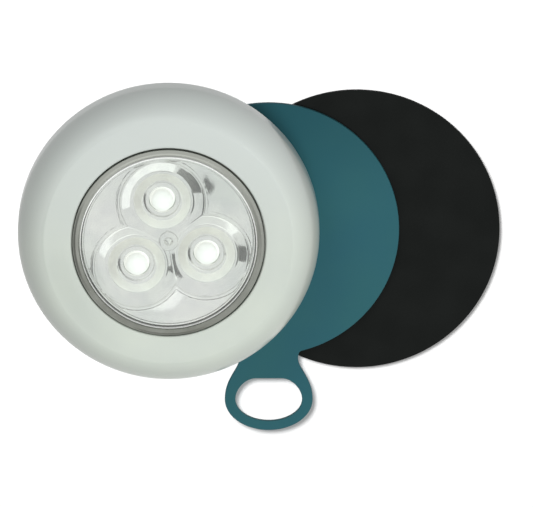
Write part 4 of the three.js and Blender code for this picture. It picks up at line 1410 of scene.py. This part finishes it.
@dataclass
class PushButton(SubAssembly):
    """The carrier with the lens, the reflector, the board and the lit diodes. Sizes in millimetres."""

    rim_width: float = 1.32
    rim_edge: float = 0.2
    rim_slope: float = 0.17
    rim_land: float = 0.65
    rim_bevel: float = 0.3
    pocket_edge: float = 0.12
    seat_edge: float = 0.05
    soft_edge: float = 0.1
    flange_width: float = 1.78
    flange_thickness: float = 1.2
    flange_edge: float = 0.15
    gap: float = 0.3
    fit: float = 0.05
    lens_ledge: float = 0.4
    reflector_ledge: float = 0.8
    board_ledge: float = 0.9
    lens_edge: float = 0.25
    lens_crown: float = 0.4
    lens_rings: int = 24
    dish_wall: float = 0.5
    dish_height: float = 0.5
    dish_foot: float = 0.4
    dish_fillet: float = 0.15
    dish_edge: float = 0.2
    plate_wall: float = 0.9
    edge_land: float = 0.4
    bowl_turn: float = math.radians(8.8)
    bowl_inner: float = 6.4
    bowl_step: float = 6.9
    bowl_rim: float = 9.4
    bowl_depth: float = 2.9
    bowl_step_share: float = 0.35
    boss_radius: float = 2.2
    boss_depth: float = 1.6
    boss_edge: float = 0.35
    dimple_radius: float = 1.0
    dimple_depth: float = 0.5
    dimple_edge: float = 0.2
    dimple_floor_share: float = 0.6
    peg_inset: float = 4.1
    peg_radius: float = 1.0
    peg_edge: float = 0.2
    peg_sink: float = 0.5
    diode_radius: float = 2.5
    diode_flange: float = 2.9
    diode_flange_height: float = 0.8
    diode_height: float = 4.3
    dome_height: float = 2.0
    dome_steps: int = 16
    lit_above: float = 1.0
    leg_half: float = 0.25
    leg_spread: float = 1.27
    rim_columns: int = 132
    ridge_columns: int = 60
    collar_rows: int = 3
    groove_rows: int = 6
    wall_rows: int = 12
    step_rows: int = 6
    land_rows: int = 30
    seam: float = 0.004

    def make(self) -> None:
        """Makes the button's pieces."""
        self.carrier()
        self.lens()
        self.reflector()
        self.diodes()
        self.smoothed("diode_board", Body.BUTTON, "green_board")
        self.smoothed("series_resistor", Body.BUTTON, "resistor_body")

    def carrier(self) -> None:
        """Turns the smoked ring with its flange and its three ledges."""
        bottom, top = self.station.heights("button_carrier")
        flange = self.station.radius("button_carrier")
        outer = flange - self.flange_width
        pocket = outer - self.rim_width
        dish = pocket - self.lens_ledge
        well = dish - self.reflector_ledge
        bore = well - self.board_ledge
        lens_seat = self.station.heights("lens_cover")[0] - self.gap
        dish_seat = self.land() - self.plate_wall - self.gap
        board_seat = self.station.heights("diode_board")[0] - self.gap
        flange_top = self.flange_top()
        flange_low = flange_top - self.flange_thickness
        soft, fine, round_edge = self.soft_edge, self.seat_edge, self.flange_edge
        corners = [
            (bore, bottom, soft), (outer, bottom, soft), (outer, flange_low, soft),
            (flange, flange_low, round_edge), (flange, flange_top, round_edge), (outer, flange_top, soft),
            (outer, top - self.rim_slope, self.rim_edge), (outer - self.rim_land, top, self.rim_edge),
            (pocket, top - self.rim_bevel, self.pocket_edge), (pocket, lens_seat, fine),
            (dish, lens_seat, fine), (dish, dish_seat, fine), (well, dish_seat, fine),
            (well, board_seat, fine), (bore, board_seat, soft)]
        ring = Form("button_ring").turned(rounded(corners, True)).made()
        self.seat(ring, Body.BUTTON, "smoked_rim", "button_carrier")

    def flange_top(self) -> float:
        """The height of the flange's upper face, a gap below the cover's lip."""
        top = self.station.heights("front_cover")[1]
        return top - Housing.bezel_drop - Housing.lip_depth - self.gap

    def land(self) -> float:
        """The height of the reflector's flat lands."""
        return self.station.heights("reflector")[1] - self.dish_height

    def lens(self) -> None:
        """Turns the clear lens with its slight crown and its edge bevels, and marks its outermost points."""
        bottom, top = self.station.heights("lens_cover")
        radius = self.station.radius("lens_cover")
        edge_top = top - self.lens_crown
        rim = radius - self.lens_edge
        corners = [(0, bottom, 0), (radius, bottom, self.lens_edge), (radius, edge_top, self.lens_edge),
                   (rim, edge_top, 0)]
        shares = [1 - i / self.lens_rings for i in range(self.lens_rings + 1)]
        crown = [(rim * share, edge_top + self.lens_crown * (1 - share ** 2)) for share in shares]
        lens = Form("lens").turned(rounded(corners, False)[:-1] + crown).made()
        # The outermost points carry the painted highlight that glows along the lens's edge
        edges = lens.data.attributes.new("edge", "FLOAT", "POINT")
        for item, vertex in zip(edges.data, lens.data.vertices):
            item.value = float(vertex.co.xy.length > rim + self.lens_edge / 4)
        self.seat(lens, Body.BUTTON, "clear_acrylic", "lens_cover")

    def shape(self) -> BowlShape:
        """The bowls' shape.

        Returns:
            The shape, worked out from the reflector's size.
        """
        land = self.land()
        floor = land - self.bowl_depth
        circle = self.station.radius("reflector") - self.dish_wall - self.edge_land - self.bowl_rim
        return BowlShape(
            circle=circle, hole=self.diode_flange + self.fit, inner=self.bowl_inner, step=self.bowl_step,
            rim=self.bowl_rim, floor=floor, land=land,
            ledge=floor + self.bowl_depth * (1 - self.bowl_step_share))

    def petal(self, shape: BowlShape) -> Object:
        """Makes a third of the reflector: one bowl with its share of the lands and of the dish's wall.

        Args:
            shape: The bowls' shape.

        Returns:
            The petal, with its bowl on +X and open seams that meet its neighbours'.
        """
        cusp = shape.cusp
        spare = TURN - 2 * cusp
        angles = [-cusp + 2 * cusp * k / self.rim_columns for k in range(self.rim_columns + 1)]
        angles += [cusp + spare * k / self.ridge_columns for k in range(1, self.ridge_columns)]
        fixed = [shape.hole] + graded(shape.hole, shape.collar, self.collar_rows)
        fixed += graded(shape.collar, shape.groove, self.groove_rows, 1)
        fixed += graded(shape.groove, shape.inner, self.wall_rows)
        fixed += graded(shape.step, shape.inner, self.step_rows)[-2::-1] + [shape.step]
        outer = self.station.radius("reflector")
        wall = outer - self.dish_wall
        foot = wall - self.dish_foot
        top = shape.land + self.dish_height
        low = shape.land - self.plate_wall
        dish = rounded([
            (foot, shape.land, 0), (wall, shape.land, self.dish_fillet), (wall, top, self.dish_edge),
            (outer, top, self.dish_edge), (outer, low, self.soft_edge), (wall, low, 0)], False)[1:-1]
        shares = [(i / self.land_rows) ** 2 for i in range(1, self.land_rows + 1)]
        mesh = bmesh.new()
        upper, lower, lands, skirts, unders = [], [], [], [], []
        for k, angle in enumerate(angles):
            turn = angle if angle <= math.pi else angle - TURN
            radii = fixed + graded(shape.step, shape.reach(turn), self.wall_rows)
            spots = [polar(r, angle, (shape.circle, 0)) for r in radii]
            upper.append(self.column(mesh, shape, spots))
            lower.append(self.column(mesh, shape, spots, self.plate_wall))
            if k > self.rim_columns:
                continue
            edge = Vector(spots[-1])
            away = edge.normalized()
            line = [away * (edge.length + (foot - edge.length) * share) for share in shares]
            lands.append([upper[-1][-1]] + self.column(mesh, shape, line))
            unders.append([lower[-1][-1]] + self.column(mesh, shape, line, self.plate_wall))
            skirts.append([mesh.verts.new((*(away * r), h)) for r, h in dish])
        for k in range(len(angles)):
            j = (k + 1) % len(angles)
            for strip in (upper, lower):
                self.quads(mesh, strip[k], strip[j])
            mesh.faces.new((upper[k][0], upper[j][0], lower[j][0], lower[k][0]))
        for k in range(self.rim_columns):
            for strip in (lands, unders, skirts):
                self.quads(mesh, strip[k], strip[k + 1])
            for strip, end in ((lands, 0), (unders, -1)):
                mesh.faces.new((strip[k][-1], strip[k + 1][-1], skirts[k + 1][end], skirts[k][end]))
        data = bpy.data.meshes.new("petal")
        mesh.to_mesh(data)
        mesh.free()
        return new_object("mirror_bowls", data)

    @staticmethod
    def column(mesh: bmesh.types.BMesh, shape: BowlShape, spots: Iterable[Sequence[float]],
               below: float = 0.0) -> list[bmesh.types.BMVert]:
        """Adds a vertex at each spot, on the reflector's face or at a depth below it."""
        return [mesh.verts.new((x, y, shape.height(x, y) - below)) for x, y in spots]

    @staticmethod
    def quads(mesh: bmesh.types.BMesh, first: Sequence[bmesh.types.BMVert],
              second: Sequence[bmesh.types.BMVert]) -> None:
        """Skins two neighbouring columns of vertices."""
        for a, b, c, d in zip(first, first[1:], second[1:], second):
            mesh.faces.new((a, b, c, d))

    def bowl_angles(self) -> list[float]:
        """The direction of each bowl from the axis, in radians."""
        return [QUARTER + self.bowl_turn + TURN * k / BOWLS for k in range(BOWLS)]

    def reflector(self) -> None:
        """Joins three petals into the mirrored dish and adds its middle boss and its pegs."""
        shape = self.shape()
        dish = copied(self.petal(shape), [((0, 0, 0), turn) for turn in self.bowl_angles()],
                      material("mirror_coating"), self.seam)
        top, foot, pit = shape.land, shape.land - self.boss_depth, shape.land - self.dimple_depth
        corners = [(0, foot, 0), (self.boss_radius, foot, 0), (self.boss_radius, top, self.boss_edge),
                   (self.dimple_radius, top, self.dimple_edge),
                   (self.dimple_radius * self.dimple_floor_share, pit, self.dish_fillet), (0, pit, 0)]
        extras = Form("extras").turned(rounded(corners, False), FINE_SEGMENTS)
        circle = self.station.radius("diode_board") - self.peg_inset
        tail = self.station.heights("reflector")[0]
        head = top - self.peg_sink
        peg = rounded([(0, tail, 0), (self.peg_radius, tail, self.peg_edge), (self.peg_radius, head, 0),
                       (0, head, 0)], False)
        for turn in self.bowl_angles():
            extras.turned(peg, FINE_SEGMENTS // 2, polar(circle, turn + math.pi / BOWLS))
        other = extras.made()
        joined = bmesh.new()
        joined.from_mesh(dish.data)
        bmesh.ops.recalc_face_normals(joined, faces=joined.faces)
        joined.from_mesh(other.data)
        joined.to_mesh(dish.data)
        joined.free()
        bpy.data.objects.remove(other)
        self.seat(dish, Body.BUTTON, "mirror_coating", "reflector")

    def diodes(self) -> None:
        """Turns one lit diode with its flange, dome and legs, and sets three of them."""
        names = numbered("diode", BOWLS)
        foot_low, top = self.station.heights(names[0])
        foot = top - self.diode_height
        flange_top = foot + self.diode_flange_height
        shoulder = top - self.dome_height
        radius, flange = self.diode_radius, self.diode_flange
        corners = [(0, foot, 0), (flange, foot, self.soft_edge), (flange, flange_top, self.flange_edge),
                   (radius, flange_top, self.seat_edge), (radius, shoulder, 0)]
        dome = ellipse((0, shoulder), radius, self.dome_height, 0, QUARTER, self.dome_steps)
        form = Form("lit_diodes").turned(rounded(corners, False)[:-1] + dome[:-1] + [(0, top)], FINE_SEGMENTS)
        half = self.leg_half
        for y in (self.leg_spread, -self.leg_spread):
            square = [(half, y - half), (half, y + half), (-half, y + half), (-half, y - half)]
            form.prism(square, foot_low, foot + self.diode_flange_height / 2)
        one = form.made()
        # The dome is marked by its radius, and what lies below it counts as its rim
        rims = one.data.attributes.new("rim", "FLOAT", "POINT")
        for item, vertex in zip(rims.data, one.data.vertices):
            lit = vertex.co.z > foot + self.lit_above
            item.value = vertex.co.xy.length / radius if lit else 1.0
        circle = self.shape().circle
        places = [((*polar(circle, turn), 0), turn) for turn in self.bowl_angles()]
        self.seat(copied(one, places, material("diode_resin")), Body.BUTTON, "diode_resin", *names)


def hanger_station() -> Station:
    """Finds the hanger's station, whose axis is a radius below the disc's top.

    Returns:
        The station.
    """
    low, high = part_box("hanger_disc")
    radius = (high.x - low.x) / 2
    return Station((low.x + high.x) / 2, high.y, high.z - radius)


# Studio


@dataclass(frozen=True)
class Panel:
    """A darker panel of the room that mirrors and clear parts show.

    Attributes:
        name: What it is.
        towards: Its direction from the object.
        inner: The angle in degrees where it starts to fade.
        outer: The angle where it ends.
        light: How bright it is, where one is white.
    """

    name: str
    towards: tuple[float, float, float]
    inner: float
    outer: float
    light: float


@dataclass(frozen=True)
class Card:
    """A card in front of the lens that the mirrored bowls show, unseen by the camera.

    Attributes:
        name: The card's name.
        outline: Its corners: the angle round the lens's axis and the angle off that axis, in degrees.
        light: How bright it is, where one is white.
    """

    name: str
    outline: tuple[Point, ...]
    light: float


@dataclass(frozen=True)
class Lamp:
    """A round soft lamp that is aimed at the object.

    Attributes:
        name: What it is.
        place: Where it stands, in metres.
        size: How wide it is, in metres.
        level: How bright it makes a white face turned to it, where one is white.
        for_wall: Whether it lights only the wall and the floor, and only the flat pieces shade them.
    """

    name: str
    place: tuple[float, float, float]
    size: float
    level: float
    for_wall: bool = False


@dataclass
class Studio:
    """The camera, the lamps, the wall behind the object and the floor below it.

    Sizes and places are in metres, angles in degrees, and a light of one is white. The dome's and the room's
    lights are those behind the object and ahead of it.
    """

    elevation: float = 15.2
    distance: float = 4.0
    aim: tuple[float, float, float] = (-0.0202, -0.010, -0.00344)
    view_width: float = 0.1196
    sensor: float = 36.0
    clip: Point = (0.01, 50.0)
    wall_gap: float = 0.0003
    wall_half: float = 0.09
    floor_drop: float = 0.26
    floor_half: float = 0.16
    wall_colour: str = "#cbcbcb"
    wall_glow: float = 0.24
    dome: Point = (0.24, 0.20)
    room: Point = (0.85, 0.88)
    blend: Point = (-0.5, 0.5)
    panels: tuple[Panel, ...] = (
        Panel("wing", (-0.47, -0.84, -0.26), 9, 13, 0.15),
        Panel("low wing", (0.0, -0.72, -0.69), 7, 11, 0.45),
    )
    card_distance: float = 0.040
    cards: tuple[Card, ...] = (
        Card("white card", (
            (-109, 54.8), (-100, 55.8), (-92, 56.2), (-84, 55.9), (-76, 54.8), (-68, 53.6), (-60, 52.2),
            (-51, 50.2), (-41, 48.0), (-32, 45.6), (-22, 43.2), (-11, 41.0), (0, 38.9), (0, 33.5),
            (-11, 35.5), (-22, 37.0), (-34, 40.0), (-43, 43.5), (-51, 46.4), (-60, 47.0), (-68, 46.0),
            (-84, 44.0), (-109, 44.0)), 1.3),
        Card("dark card", (
            (-156, 50.5), (-149, 50.5), (-146, 49.6), (-133, 51.4), (-124, 53.2), (-114, 54.6), (-114, 51.0),
            (-123, 48.7), (-127, 44.5), (-126, 41.0), (-138, 36.5), (-150, 33.5), (-156, 40.0)), 0.14),
        Card("dark wedge", (
            (-27.6, 51.6), (-22.6, 50.2), (-17.4, 48.2), (-12.0, 46.0), (-6.3, 43.7), (-0.3, 41.2),
            (6.1, 38.5), (6.1, 37.4), (-0.3, 38.9), (-6.3, 40.4), (-12.0, 42.2), (-17.4, 44.2), (-22.6, 46.2),
            (-27.6, 48.3)), 0.14),
        Card("small dark card", ((22.1, 11.2), (3.6, 13.6), (-8.9, 12.0), (2.9, 10.0)), 0.14),
        Card("white wedge", (
            (-83.9, 28.3), (-105.5, 37.4), (-95.1, 37.3), (-87.7, 36.1), (-79.8, 31.3)), 1.15),
    )
    shadowed: bpy.types.Collection = field(default_factory=lambda: bpy.data.collections.new("flat pieces"))
    lamps: tuple[Lamp, ...] = (
        Lamp("key", (0.13, -0.60, -0.04), 0.30, 0.72),
        Lamp("fill", (-0.20, -0.54, 0.40), 0.30, 0.13),
        Lamp("back", (0.20, 0.58, -0.36), 0.40, 0.62),
        Lamp("wall lamp", (-0.30, -1.30, 0.56), 0.42, 1.40, for_wall=True),
    )

    def build(self) -> None:
        """Sets up the camera, the light and the backdrop."""
        bpy.context.scene.view_settings.view_transform = "Standard"
        self.camera()
        self.world()
        walls = self.backdrop()
        for lamp in self.lamps:
            self.lamp(lamp, walls)
        for card in self.cards:
            self.card(card)

    def aimed(self, obj: Object, place: Vector) -> None:
        """Stands a camera or a lamp at a place and turns it to the object.

        Args:
            obj: The camera or the lamp.
            place: Where it stands, in metres.
        """
        obj.location = place
        obj.rotation_mode = "QUATERNION"
        obj.rotation_quaternion = (Vector(self.aim) - place).to_track_quat("-Z", "Y")

    def camera(self) -> None:
        """Puts a long lens at the viewing angle, with the width of the view at the object as given."""
        angle = math.radians(self.elevation)
        back = Vector((0, -math.cos(angle), math.sin(angle)))
        data = bpy.data.cameras.new("camera")
        data.sensor_width = self.sensor
        data.lens = self.sensor * self.distance / self.view_width
        data.clip_start, data.clip_end = self.clip
        obj = new_object("camera", data)
        self.aimed(obj, Vector(self.aim) + back * self.distance)
        bpy.context.scene.camera = obj

    def world(self) -> None:
        """Makes an even dome that lights the object, and a paler room that mirrors and clear parts show."""
        world = bpy.data.worlds.new("studio")
        world.use_nodes = True
        bpy.context.scene.world = world
        tree = world.node_tree
        tree.nodes.clear()
        way = add_node(tree, "ShaderNodeTexCoord").outputs["Generated"]
        front = facing(tree, way, (0, -1, 0))
        dome, room = (remapped(tree, front, self.blend, light, eased=True)
                      for light in (self.dome, self.room))
        for panel in self.panels:
            near = facing(tree, way, tuple(Vector(panel.towards).normalized()))
            ends = (math.cos(math.radians(panel.outer)), math.cos(math.radians(panel.inner)))
            room = mixed(tree, Mix.VALUE, remapped(tree, near, ends, eased=True), room, panel.light)
        path = add_node(tree, "ShaderNodeLightPath").outputs
        clear = reckoned(tree, "ADD", path["Is Glossy Ray"], path["Is Transmission Ray"], clamped=True)
        mirrored = mixed(tree, Mix.VALUE, clear, dome, room)
        shown = mixed(tree, Mix.VALUE, path["Is Camera Ray"], mirrored, 1.0)
        sky = add_node(tree, "ShaderNodeBackground", inputs={"Color": (1, 1, 1, 1), "Strength": shown})
        add_node(tree, "ShaderNodeOutputWorld", inputs={"Surface": sky.outputs["Background"]})

    def lamp(self, lamp: Lamp, walls: Sequence[Object]) -> None:
        """Sets up a soft lamp for the object or for the wall. Mirrors show the room in its place.

        Args:
            lamp: The lamp.
            walls: The wall and the floor.
        """
        place = Vector(lamp.place)
        data = bpy.data.lights.new(lamp.name, "AREA")
        data.shape = "DISK"
        data.size = lamp.size
        reach = (Vector(self.aim) - place).length_squared + (lamp.size / 2) ** 2
        data.energy = lamp.level * math.pi ** 2 * reach
        obj = new_object(lamp.name, data)
        self.aimed(obj, place)
        obj.visible_camera = obj.visible_glossy = obj.visible_transmission = False
        lit = bpy.data.collections.new(f"{lamp.name} lit")
        for wall in walls:
            lit.objects.link(wall)
        for link in lit.collection_objects:
            link.light_linking.link_state = "INCLUDE" if lamp.for_wall else "EXCLUDE"
        obj.light_linking.receiver_collection = lit
        if lamp.for_wall:
            obj.light_linking.blocker_collection = self.shadowed

    def card(self, card: Card) -> None:
        """Sets up a card, which shows only in mirrors and clear parts.

        Args:
            card: The card.
        """
        low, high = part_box("lens_cover")
        lens = Vector(((low.x + high.x) / 2, low.y, (low.z + high.z) / 2))
        corners = []
        for turn, tilt in card.outline:
            round_axis, off_axis = math.radians(turn), math.radians(tilt)
            across = Vector((math.cos(round_axis), 0, math.sin(round_axis))) * math.sin(off_axis)
            corners.append(lens + (across - Vector((0, math.cos(off_axis), 0))) * self.card_distance)
        data = bpy.data.meshes.new(card.name)
        data.from_pydata(corners, [], [tuple(range(len(corners)))])
        made, tree = new_material(card.name)
        glow = add_node(tree, "ShaderNodeEmission", inputs={"Strength": card.light})
        add_node(tree, "ShaderNodeOutputMaterial", inputs={"Surface": glow.outputs["Emission"]})
        data.materials.append(made)
        obj = new_object(card.name.replace(" ", "_"), data)
        obj.visible_camera = obj.visible_diffuse = obj.visible_shadow = False

    def backdrop(self) -> list[Object]:
        """Stands a white wall behind the pad, clear from behind, and lays a small white floor far below.

        Returns:
            The wall and the floor.
        """
        made = []
        low = cad_bounds[0].z - self.floor_drop
        half, near, reach = self.wall_half, self.wall_gap, self.floor_half
        square = ((-1, -1), (1, -1), (1, 1), (-1, 1))
        wall = [(half * x, near, half * z) for x, z in square]
        floor = [(reach * x, reach * y, low) for x, y in square]
        for name, corners in (("wall", wall), ("floor", floor)):
            data = bpy.data.meshes.new(name)
            data.from_pydata(corners, [], [(0, 1, 2, 3)])
            data.materials.append(self.paint(name))
            obj = new_object(name, data)
            made.append(obj)
        return made

    def paint(self, name: str) -> bpy.types.Material:
        """Makes the backdrop's matte white, which keeps the object's shadow.

        It is open from behind, and to the rays that light the object, so that the dome lights it all round.

        Args:
            name: The backdrop's name.

        Returns:
            The material.
        """
        made, tree = new_material(f"white {name}")
        matte = add_node(tree, "ShaderNodeBsdfDiffuse", inputs={"Color": linear(self.wall_colour)})
        glow = add_node(tree, "ShaderNodeEmission", inputs={"Strength": self.wall_glow})
        both = add_node(tree, "ShaderNodeAddShader",
                        inputs={0: matte.outputs["BSDF"], 1: glow.outputs["Emission"]})
        path = add_node(tree, "ShaderNodeLightPath").outputs
        behind = add_node(tree, "ShaderNodeNewGeometry").outputs["Backfacing"]
        seen = reckoned(tree, "MAXIMUM", path["Is Camera Ray"], path["Is Transmission Ray"])
        through = reckoned(tree, "MAXIMUM", reckoned(tree, "SUBTRACT", 1.0, seen), behind)
        air = add_node(tree, "ShaderNodeBsdfTransparent")
        parted = add_node(tree, "ShaderNodeMixShader", inputs={
            0: through, 1: both.outputs["Shader"], 2: air.outputs["BSDF"]})
        add_node(tree, "ShaderNodeOutputMaterial", inputs={"Surface": parted.outputs["Shader"]})
        return made


def main() -> None:
    """Builds the studio and each sub-assembly."""
    logging.basicConfig(level=logging.INFO, format="%(name)s: %(message)s")
    TREES["copies"] = copies_tree()
    TREES["coil"] = coil_tree()
    studio = Studio()
    studio.build()
    lamp = Station.behind("lens_cover", "battery_cover")
    groups: list[SubAssembly] = [
        WallPad(Station.behind("mounting_pad", "pad_film")),
        Hanger(hanger_station()),
        Housing(lamp),
        BatteryCover(lamp),
        PushButton(lamp),
    ]
    for group in groups:
        for piece in group.build():
            LOG.info("%s: %s, %d faces", type(group).__name__, piece.name, len(piece.data.polygons))
            if isinstance(group, (WallPad, Hanger)):
                studio.shadowed.objects.link(piece)


if __name__ == "__main__":
    main()
